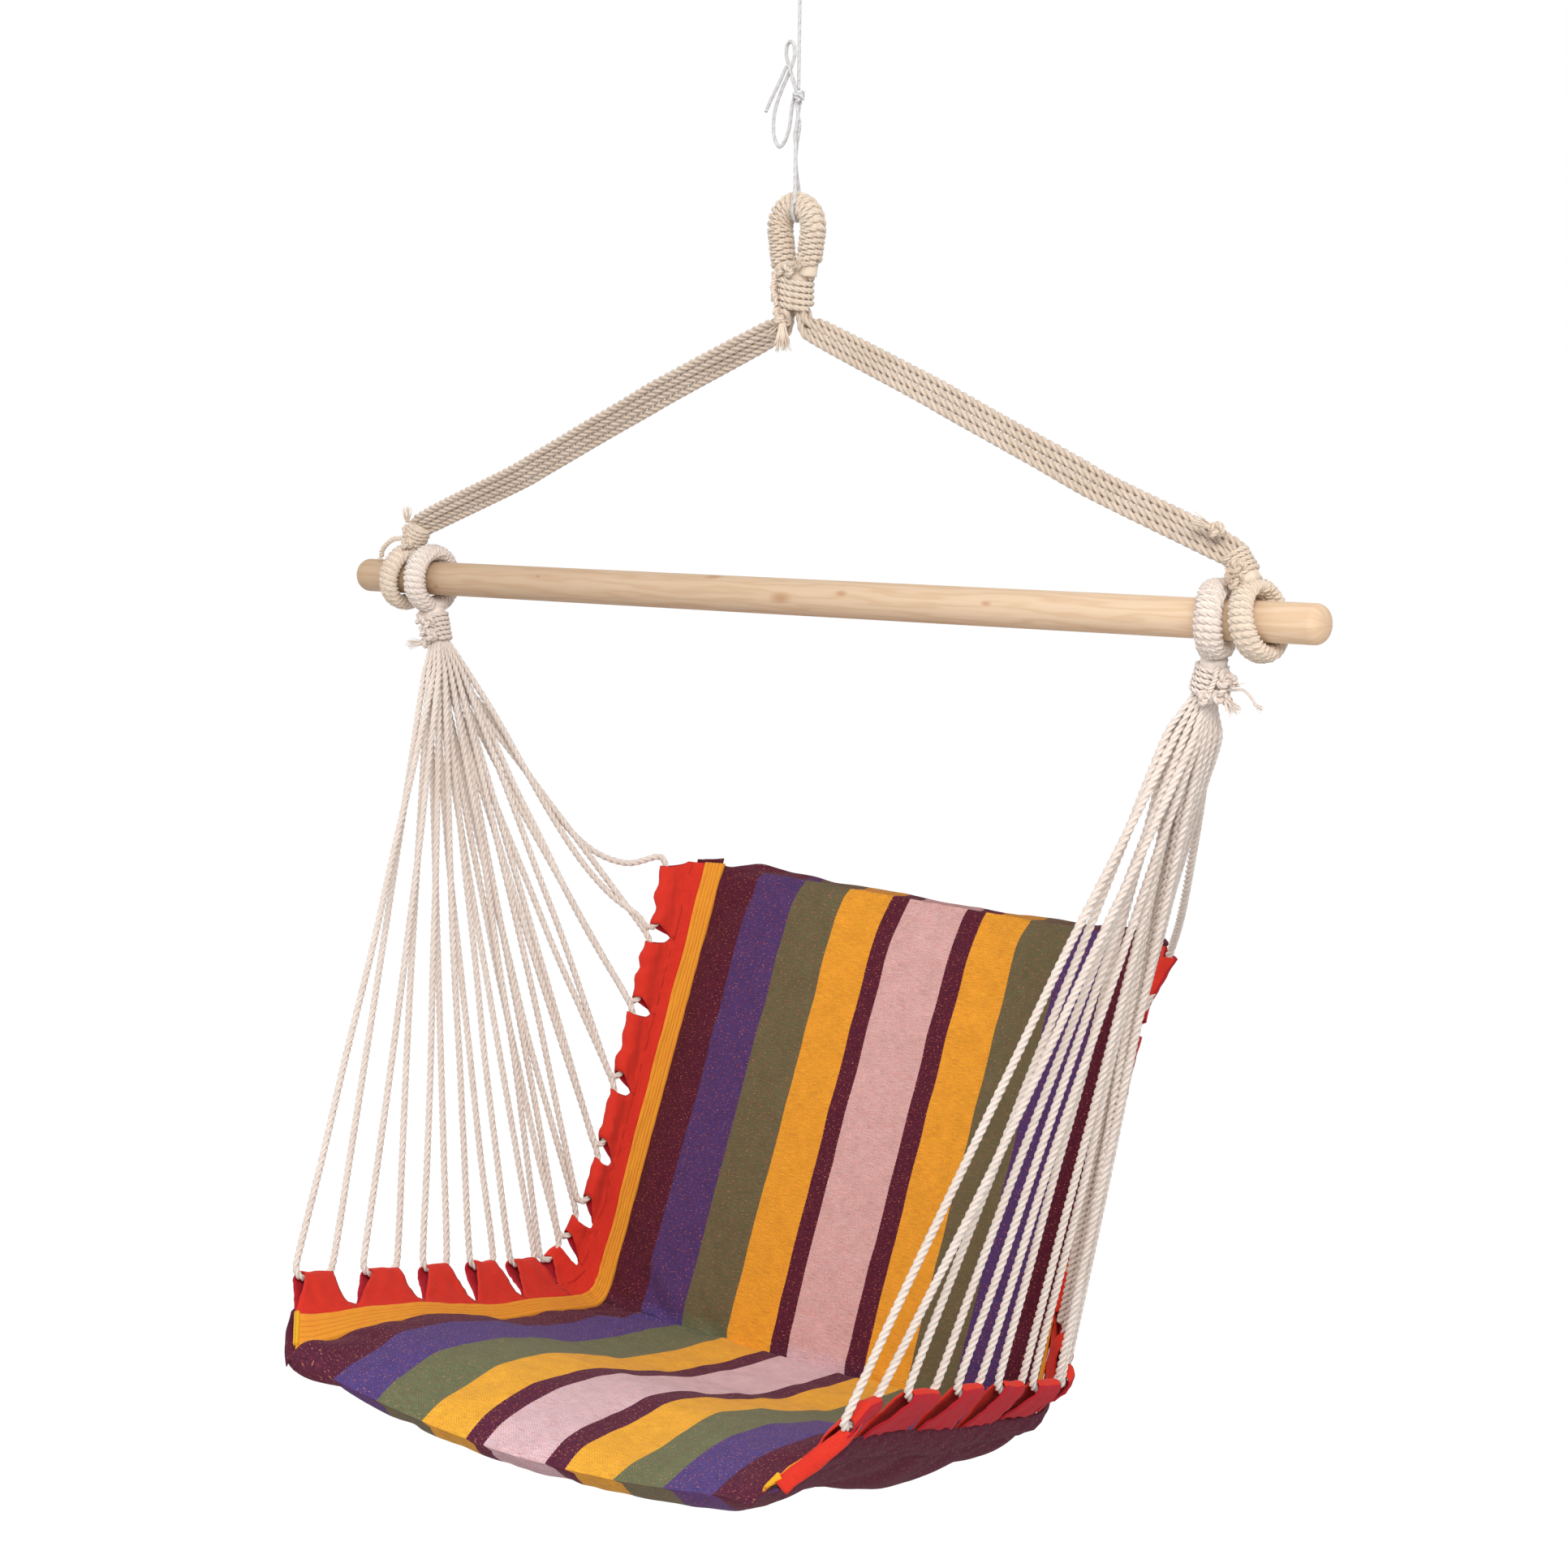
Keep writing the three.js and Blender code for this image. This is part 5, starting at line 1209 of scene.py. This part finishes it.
def addSeatSide(side, sign):
    shape = seatRing | seatRing[side + "Shape"]
    frameAt = ringShape(shape, seatRing[side], seatRing[side + "Turn"], 0.0, -1)
    laces = [fromSeat(lacePoint(sign, share)) for pair in bightShares for share in pair]
    start = frameAt(-math.pi / 2)[0]
    down = unit(np.mean(laces, axis=0) - start)
    fanAcross = unit(barAxis - down * (barAxis @ down)) * sign
    fanAlong = unit(np.cross(down, fanAcross))
    fanAlong = fanAlong if fanAlong[1] > 0 else -fanAlong

    cordPiece(f"{side}_seat_ring_turns", "seat", ringBodies(shape, frameAt, -math.pi / 2),
              f"{side}_seat_ring", f"{side}_seat_ring_whipping")
    bodies = neckBodies(start, down, seatNeck)
    bodies += dressing(seatDress[side], placesFrom(start, down, fanAcross * sign, fanAlong))
    cordPiece(f"{side}_seat_neck_turns", "seat", bodies, f"{side}_seat_neck_wrap")

    diameter = fan["diameter"][sign]
    for index in range(len(bightShares)):
        path = cordPath(side, index, laces, start, down, fanAcross, fanAlong)
        swell = thinned(path, fan["thinEnd"], fan["thinInside"], fan["thinRun"])
        body = ropeBody(path, diameter / 2, fan["lay"], swell=swell, spin=index * 1.7)
        number = f"{index + 1:02d}"
        bight = cordPiece(f"{side}_seat_cord_{number}", "seat", [body], f"{side}_cord_bight_{number}")
        declareCord(bight, path, diameter)


addSeatSide("left", -1)
addSeatSide("right", 1)
print("seat rings and cords made")


# Padded seat and back: each a closed case of striped cloth, seamed round its edge and filled

pad = {"pitch": 8.0, "lift": 21.3, "dish": -4.5, "dishRise": 10.0, "valley": -5.0, "valleyReach": 0.045,
       "sideBend": 12.0, "frontRise": 9.5, "frontLift": 5.0, "frontLip": 7.0, "endBend": 14.0,
       "ear": 9.0, "earTop": 8.0, "earDrop": 7.0, "earReach": 24.0, "hang": 7.0, "hangEnd": 330.0,
       "overlap": 1.6, "underShift": 8.0, "pressure": 3.0, "growth": 0.015, "cap": 6.0, "frames": 20}
seatCase = {"ends": (-5.0, padPath["middle"] + pad["overlap"]), "bends": (16.0, 10.0), "seams": (4.0, -8.0),
            "deep": 34.0, "bulges": (3.0, 0.0), "nodes": ("seat_padding", "front_cloth", "rear_cloth")}
backCase = {"ends": (padPath["middle"] - pad["overlap"], padPath["length"]), "bends": (10.0, 12.0),
            "seams": (-8.0, -7.0), "deep": 24.0, "bulges": (0.0, 17.0), "nodes": ("back_padding",)}


def seatLift(s):  # how far the seat rises above the straight line from its front edge to the crease
    begun = 1 - np.exp(-(np.maximum(s + 6, 0) / 22) ** 0.8)
    return pad["lift"] * begun * (1 - eased((s - 108) / 160))


def dishAt(share, s):  # the middle hangs below the sides, and the cloth dips again where it is stitched
    valley = pad["valley"] * np.exp(-(1 - abs(share)) / pad["valleyReach"])
    valley *= 1 - 0.9 * np.exp(-(((s - 275) / 55) ** 2))
    depth = 1 - 0.45 * eased((s - padPath["middle"]) / 80)
    return (pad["dish"] + pad["dishRise"] * share**2 + valley) * depth


ripplePhases = np.random.default_rng(11).uniform(0, fullTurn, (60, 6, 2))


def ripple(x, y, pitch, kind):  # soft even unevenness between about -1 and 1
    total = 0
    for k, (start, heading) in enumerate(ripplePhases[kind]):
        run = x * math.cos(heading) + y * math.sin(heading)
        total = total + np.sin(run * fullTurn / (pitch * (0.7 + 0.12 * k)) + start)
    return total / 3.2


def roundOff(away, bend):  # from 0 on an edge to 1 at the end of its bend, as a quarter round rises
    return np.sqrt(1 - (1 - np.clip(away / bend, 0, 1)) ** 2)


def edgeSpaced(begin, end, firstBend, lastBend, pitch):  # places closer together on the bends
    turn = 1 - np.cos(np.linspace(0, math.pi / 2, 6))
    inner = np.linspace(begin + firstBend, end - lastBend, int((end - begin) / pitch))
    return np.concatenate([begin + turn[:-1] * firstBend, inner, end - turn[-2::-1] * lastBend])


def padGrid(case):
    begin, end = case["ends"]
    bends, seams = case["bends"], case["seams"]
    atFront = begin < 0
    sideBend = pad["sideBend"] / seat["halfWidth"]
    across = edgeSpaced(-1.0, 1.0, sideBend, sideBend, pad["pitch"] / seat["halfWidth"])
    x = across * seat["halfWidth"]
    seam = seams[0] + np.zeros_like(x)
    if atFront:
        seam += pad["frontRise"] * (across**2 - 1) + pad["frontLift"] * np.clip(across, 0, 1)
    top, bottom, spots = [], [], []
    for s in edgeSpaced(begin, end, *bends, pad["pitch"]):
        first, last = s - begin, end - s
        ear = math.exp(-((first / pad["earReach"]) ** 2)) * np.clip((-across - 0.8) / 0.12, 0, 1) * atFront
        blunt = ear * roundOff((1 - np.abs(across)) * seat["halfWidth"], 7) * roundOff(first, 7)
        level = seatLift(s) + 1.1 * ripple(x, s, 85, 1) + 0.45 * ripple(x, s, 30, 2)
        level = mixed(seam, level, roundOff(first, bends[0]))
        level = mixed(seams[1], level, roundOff(last, bends[1])) + dishAt(across, s)
        level[[0, -1]] = mixed(seam[[0, -1]], seatLift(s), roundOff(first, bends[0])) + dishAt(1.0, s)
        thick = case["deep"] * np.sqrt(1 - np.abs(across) ** 10)
        thick *= roundOff(first, pad["endBend"]) * roundOff(last, pad["endBend"])
        if atFront:
            lip = level - seam - dishAt(across, s) + pad["frontLip"] * roundOff(first, 10)
            thick = mixed(lip, thick, eased(first / 110)) * np.sqrt(1 - np.abs(across) ** 14)
            hang = math.sin(math.pi * min(max(s / pad["hangEnd"], 0), 1) ** 0.6)
            thick += pad["hang"] * hang * np.clip(across, 0, 1) ** 2 * (across < 0.999)
        out = sum(sign * size * math.sin(math.pi * min(away / pad["endBend"], 1))
                  for sign, size, away in zip((-1, 1), case["bulges"], (first, last)))
        out = out * np.minimum(1, (1 - abs(across)) * 9)
        for rows, height, shift in ((top, level + blunt * pad["earTop"], 0 * out),
                                    (bottom, level - thick - blunt * pad["earDrop"], out)):
            point, ahead, up = padPath["at"](s)
            rows.append(point + np.outer(x - ear * pad["ear"], xAxis) + np.outer(height, up)
                        + np.outer(shift, ahead))
        spots.append(np.stack([x, np.full_like(x, s), np.zeros_like(x)], axis=-1))
    return np.array(top), np.array(bottom), np.array(spots)


def addPad(name, case):
    top, bottom, spots = padGrid(case)
    rows, columns = top.shape[:2]
    rim = np.zeros((rows, columns), bool)
    rim[[0, -1]] = rim[:, [0, -1]] = True
    upper = np.arange(rows * columns).reshape(rows, columns)
    lower = upper.copy()
    lower[~rim] = rows * columns + np.arange((~rim).sum())
    cells = [(i, j) for i in range(rows - 1) for j in range(columns - 1)]

    def corners(grid, i, j):
        return [int(grid[a, b]) for a, b in ((i, j), (i, j + 1), (i + 1, j + 1), (i + 1, j))]

    faces = [corners(upper, i, j) for i, j in cells] + [corners(lower, i, j)[::-1] for i, j in cells]
    body = {"points": fromSeat(np.concatenate([top.reshape(-1, 3), bottom[~rim]])), "faces": faces,
            "spots": np.concatenate([spots.reshape(-1, 3), spots[~rim] - xAxis * pad["underShift"]])}
    piece = pieceFrom(name, [body], [stripedCloth, shadedUnderCloth], [0] * len(cells) + [1] * len(cells))
    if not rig.quick():
        fill(piece, sorted(set(upper[rim].tolist())))
    piece.modifiers.new("smooth", "SUBSURF").render_levels = 1
    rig.padded(piece, fill=0.45)
    settle(piece, "seat", "striped_cloth", *case["nodes"])


def fill(piece, held):  # blows the case up a little round its seams, then keeps the shape
    group = piece.vertex_groups.new(name="seam")
    group.add(held, 1.0, "REPLACE")
    cloth = piece.modifiers.new("fill", "CLOTH")
    settings = cloth.settings
    settings.quality, settings.mass = 6, 0.3
    settings.tension_stiffness = settings.compression_stiffness = 18
    settings.shear_stiffness, settings.bending_stiffness = 6, 0.6
    settings.use_pressure, settings.uniform_pressure_force = True, pad["pressure"]
    settings.shrink_min = -pad["growth"]
    settings.effector_weights.gravity = 0
    settings.vertex_group_mass = "seam"
    cloth.collision_settings.use_collision = False
    cloth.point_cache.frame_start, cloth.point_cache.frame_end = 1, pad["frames"]
    for step in range(1, pad["frames"] + 1):
        bpy.context.scene.frame_set(step)
    made = piece.evaluated_get(bpy.context.evaluated_depsgraph_get()).to_mesh()
    count = len(piece.data.vertices) * 3
    rest, blown = np.zeros(count, np.float32), np.zeros(count, np.float32)
    piece.data.vertices.foreach_get("co", rest)
    made.vertices.foreach_get("co", blown)
    piece.modifiers.remove(cloth)
    move = (blown - rest).reshape(-1, 3)
    far = np.linalg.norm(move, axis=1)[:, None]
    move *= np.minimum(1, pad["cap"] * mm / np.maximum(far, 1e-9))
    print(f"{piece.name} filled, points moved {far.mean() / mm:.1f} mm, {far.max() / mm:.1f} mm at most")
    piece.data.vertices.foreach_set("co", (rest.reshape(-1, 3) + move).ravel())
    piece.data.update()
    bpy.context.scene.frame_set(1)


addPad("seat_pad", seatCase)
addPad("back_pad", backCase)
print("pads made")


# Side strips: a yellow border stitched in rows to the rear cloth, and a red hem folded into tabs

border = {"places": (0, 60, 150, 230, 300, 350, 400, 450, 520, 740),
          "shares": {-1: (0.47, 0.40, 0.33, 0.30, 0.28, 0.26, 0.34, 0.40, 0.40, 0.38),
                     1: (0.34, 0.28, 0.24, 0.24, 0.24, 0.26, 0.34, 0.42, 0.40, 0.38)},
          "columns": 24, "step": 3.6, "stitchDepth": 0.6, "level": 2.2, "thick": 1.1, "seamLength": 0.765,
          "rearLevel": -2.8, "rearEnds": {-1: 6.0, 1: 0.0}, "rearPast": {-1: 0.12, 1: 0.22},
          "rearTuck": {-1: 0.13, 1: 0.0}, "rearPlace": 176.0,
          "tuck": {-1: 0.0, 1: 15.0}, "tuckRise": {-1: 9.0, 1: 2.0}, "tuckOut": {-1: 6.0, 1: 0.0},
          "tuckReach": {-1: 10.0, 1: 30.0}}
satin = {"end": {-1: 0.5, 1: 0.24}, "thinEnd": {-1: 1.0, 1: 0.3}, "points": 24, "radius": 2.6}
flap = {"width": 21.0, "begin": 0.16, "front": -2.5}
hem = {"bandStart": -0.08, "rootPlaces": (290, 350, 430, 500), "roots": (0.08, 0.36, 0.36, 0.3), "loop": 5.4,
       "level": 0.6, "backLevel": -1.6, "notch": 2.2, "setback": 1.8, "thick": 1.3, "columns": 14,
       "outerFrom": 16, "crown": {-1: (5.4, 5.4), 1: (9.0, 5.4)}, "rootShift": {-1: 0.0, 1: 14.0}}


@cache
def borderShare(sign, s):  # the yellow border's part of the way to the lacing
    return float(np.interp(s, border["places"], border["shares"][sign])) + 0.012 * ripple(s, 0, 55, 9)


@cache
def rootShare(sign, s):  # where the notches between the tabs end
    return borderShare(sign, s) + float(np.interp(s, hem["rootPlaces"], hem["roots"]))


def crumpled(s, rise, kind):
    return 0.8 * ripple(s, rise, 21, kind) + 0.5 * ripple(s, rise, 9, kind + 1)


@cache
def sideLine(sign, s):  # the seam at the pad, the way from there to the lacing, and the sitter's side
    start, reach, inner = sideFrame(sign, s)
    near = math.exp(-max(s, 0) / border["tuckReach"][sign])
    tucked = s + border["tuck"][sign] * near
    point, _, up = padPath["at"](tucked)
    rise = seatLift(tucked) + dishAt(1.0, tucked) - 1.2 + border["tuckRise"][sign] * near
    low = point + xAxis * sign * (seat["halfWidth"] - 1 + border["tuckOut"][sign] * near) + up * rise
    return low, start + reach - low, inner


def sidePoints(sign, s, shares, heights):
    low, way, inner = sideLine(sign, s)
    return low + np.multiply.outer(shares, way) + np.multiply.outer(heights, inner)


def sideSheet(sign, places, begin, end, columns, heightAt, spotAt):  # its face is on the sitter's side
    rows, spots = [], []
    v = np.linspace(0, 1, columns)
    for s in places:
        rows.append(sidePoints(sign, s, mixed(begin(sign, s), end(sign, s), v), heightAt(s, v)))
        spots.append(np.column_stack([spotAt(sign, v), np.full_like(v, s), v]))
    return sheetBody(fromSeat(np.array(rows)[:, ::sign]), np.array(spots)[:, ::sign])


def flatSize(piece):
    area = float(sum(face.area for face in piece.data.polygons))
    return (round(area / border["seamLength"], 4), border["seamLength"])


def thickened(piece, thick):
    solid = piece.modifiers.new("cloth", "SOLIDIFY")
    solid.thickness, solid.offset = thick * mm, 0


def seamShare(sign, s):
    return 0.0


def borderHeight(s, v):
    groove = sum(np.exp(-((v - place) / 0.03) ** 2) for place in stitching["places"]) * border["stitchDepth"]
    gathered = math.exp(-((s - padPath["middle"]) / 22) ** 2) * v * 1.8 * np.sin(s * 0.5 + v * 2)
    return border["level"] * np.minimum(1, v * 8) - groove + 0.5 * crumpled(s, v * 25, 3) * v + gathered


def borderSpot(sign, v):
    return sign * seat["halfWidth"] + v * 25


def rearBegin(sign, s):
    return 0.03 - border["rearTuck"][sign] * math.exp(-(s + 6) / 12)


def rearEnd(sign, s):
    return borderShare(sign, s) + border["rearPast"][sign]


def rearHeight(s, v):
    return border["rearLevel"] + 1.2 * crumpled(s, v * 30, 7) - 4 * np.sin(math.pi * v)


def rearSpot(sign, v):
    return sign * (border["rearPlace"] + v * 34)


def satinBody(sign):  # the edge stitching along the strip's front end
    count = satin["points"]
    shares = np.linspace(0.06, satin["end"][sign], count)
    radii = satin["radius"] + 0.15 * np.sin(np.arange(count) * 2.4)
    radii *= np.linspace(satin["thinEnd"][sign], 1, count)
    line = sidePoints(sign, -1.5, shares, np.full(count, border["level"] - 0.6))
    return tubeBody(fromSeat(line), radii, 10, 0.7)


def flapBody(sign):  # the red cloth folded round the strip's front end
    rows, spots = [], []
    across = np.linspace(0, 1, 10)
    for share in np.linspace(0.17, 1.02, 24):
        width = flap["width"] * min(1, (share - flap["begin"]) / 0.3) ** 0.6
        row = []
        for a in across:
            s = flap["front"] + width * a
            height = mixed(2.0, rearHeight(s, share) - 1.8, min(1, a * 4)) - 3 * math.sin(math.pi * a)
            row.append(sidePoints(sign, s, share, height + 0.5 * crumpled(s, share * 50, 15)))
        rows.append(np.array(row))
        spots.append([(share * 60, width * a, 30) for a in across])
    return sheetBody(fromSeat(np.array(rows)), np.array(spots, float))


def addBorder(side, sign):
    length = padPath["length"]
    places = np.linspace(-1, length + 1, int(length / border["step"]))
    rearPlaces = np.linspace(-border["rearEnds"][sign], length + 6, len(places))
    parts = [sideSheet(sign, places, seamShare, borderShare, border["columns"], borderHeight, borderSpot),
             sideSheet(sign, rearPlaces, rearBegin, rearEnd, 12, rearHeight, rearSpot), satinBody(sign)]
    if sign > 0:
        parts.append(flapBody(sign))
    finishes = [kind for kind, part in enumerate(parts) for _ in part["faces"]]
    strip = pieceFrom(f"{side}_border", parts, [yellowBorder, shadedUnderCloth, satinStitch, redCloth], finishes)
    thickened(strip, border["thick"])
    settle(strip, "seat", "striped_cloth")
    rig.sheet(strip, flat=flatSize(strip), held="stretched", rests_on=["seat_pad", "back_pad"])


# Each tab reaches half-way to its neighbours
tabBounds = [(before[1] + after[0]) / 2 for before, after in zip(bightShares, bightShares[1:])]
tabBounds = [0.0] + tabBounds + [1.0]


def tabBody(sign, index):
    begin, end = (share * padPath["length"] for share in bightShares[index])
    middle = (begin + end) / 2
    shift = hem["rootShift"][sign] * (1 - eased((middle - 250) / 100))
    rootFrom, rootTo = (share * padPath["length"] + shift for share in tabBounds[index:index + 2])
    root = rootShare(sign, middle)
    tall = np.linalg.norm(sideFrame(sign, middle)[1]) * (1 - root)
    crown = mixed(*hem["crown"][sign], eased((middle - 350) / 100))
    climb = np.linspace(-0.3, 1, 12)[:-1]
    bend = np.linspace(0, math.pi, 9)
    section = [(rise, mixed(hem["level"], hem["loop"], eased(rise) ** 0.8), 0.0) for rise in climb]
    section += [(1 + math.sin(angle) * crown / tall, math.cos(angle) * hem["loop"], angle / math.pi)
                for angle in bend]
    section += [(rise, mixed(hem["backLevel"], -hem["loop"], eased(rise) ** 0.8), 1.0)
                for rise in climb[::-1]]
    rows, spots, walked = [], [], 0.0
    for rise, level, back in section:
        held = min(max(rise, 0), 1)
        notch = hem["notch"] * math.sqrt(min(held * tall / hem["notch"], 1)) * (held > 0)
        lower = rootFrom + notch * (index > 0)
        upper = rootTo - notch * (index < len(bightShares) - 1)
        spread = mixed(2.5, -1.5, back)
        lower = mixed(lower, begin + hem["setback"] + spread, held ** 1.15)
        upper = mixed(upper, end - hem["setback"] - spread * 0.4, held ** 0.45)
        places = np.linspace(lower, upper, hem["columns"])
        row = []
        for s in places:
            share = root + (1 - root) * rise + 0.55 * ripple(s, 0, 24, 31 + index) * held / tall
            crease = crumpled(s, rise * tall, 11) * (0.5 + 0.5 * (rise < 0.9))
            row.append(sidePoints(sign, s, share, level + crease))
        walked += np.linalg.norm(np.array(row) - rows[-1], axis=1).mean() if rows else 0
        rows.append(np.array(row))
        spots.append([(walked, s, index) for s in places])
    return sheetBody(fromSeat(np.array(rows)[:, ::sign]), np.array(spots, float)[:, ::sign])


def bandBegin(sign, s):
    return borderShare(sign, s) + hem["bandStart"]


def bandEnd(sign, s):
    return rootShare(sign, s) + 0.01


def bandHeight(s, v):
    return hem["level"] - 0.5 + 0.6 * crumpled(s, v * 12, 11)


def bandSpot(sign, v):
    return v * 12


def addHem(side, sign):
    places = np.linspace(0, padPath["length"], 190)
    band = sideSheet(sign, places, bandBegin, bandEnd, 9, bandHeight, bandSpot)
    tabs = [tabBody(sign, index) for index in range(len(bightShares))]
    # the tabs' far layer takes the darker red, painted shade inside the fold
    unshadedFaces = hem["outerFrom"] * (hem["columns"] - 1)
    finishes = [0] * len(band["faces"])
    finishes += [int(face >= unshadedFaces) for tab in tabs for face in range(len(tab["faces"]))]
    piece = pieceFrom(f"{side}_laced_hem", [band] + tabs, [redCloth, redShade], finishes)
    thickened(piece, hem["thick"])
    settle(piece, "seat", "red_cloth", f"{side}_hem")
    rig.sheet(piece, flat=flatSize(piece), held="folded", rests_on=[f"{side}_border"])


for side, sign in (("left", -1), ("right", 1)):
    addBorder(side, sign)
    addHem(side, sign)
print("borders and hems made")

with open("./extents.json", "w") as sizes:
    json.dump({"cad": [list(map(float, corner)) for corner in cadBox],
               "visual": [list(map(float, corner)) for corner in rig.bounds()]}, sizes)
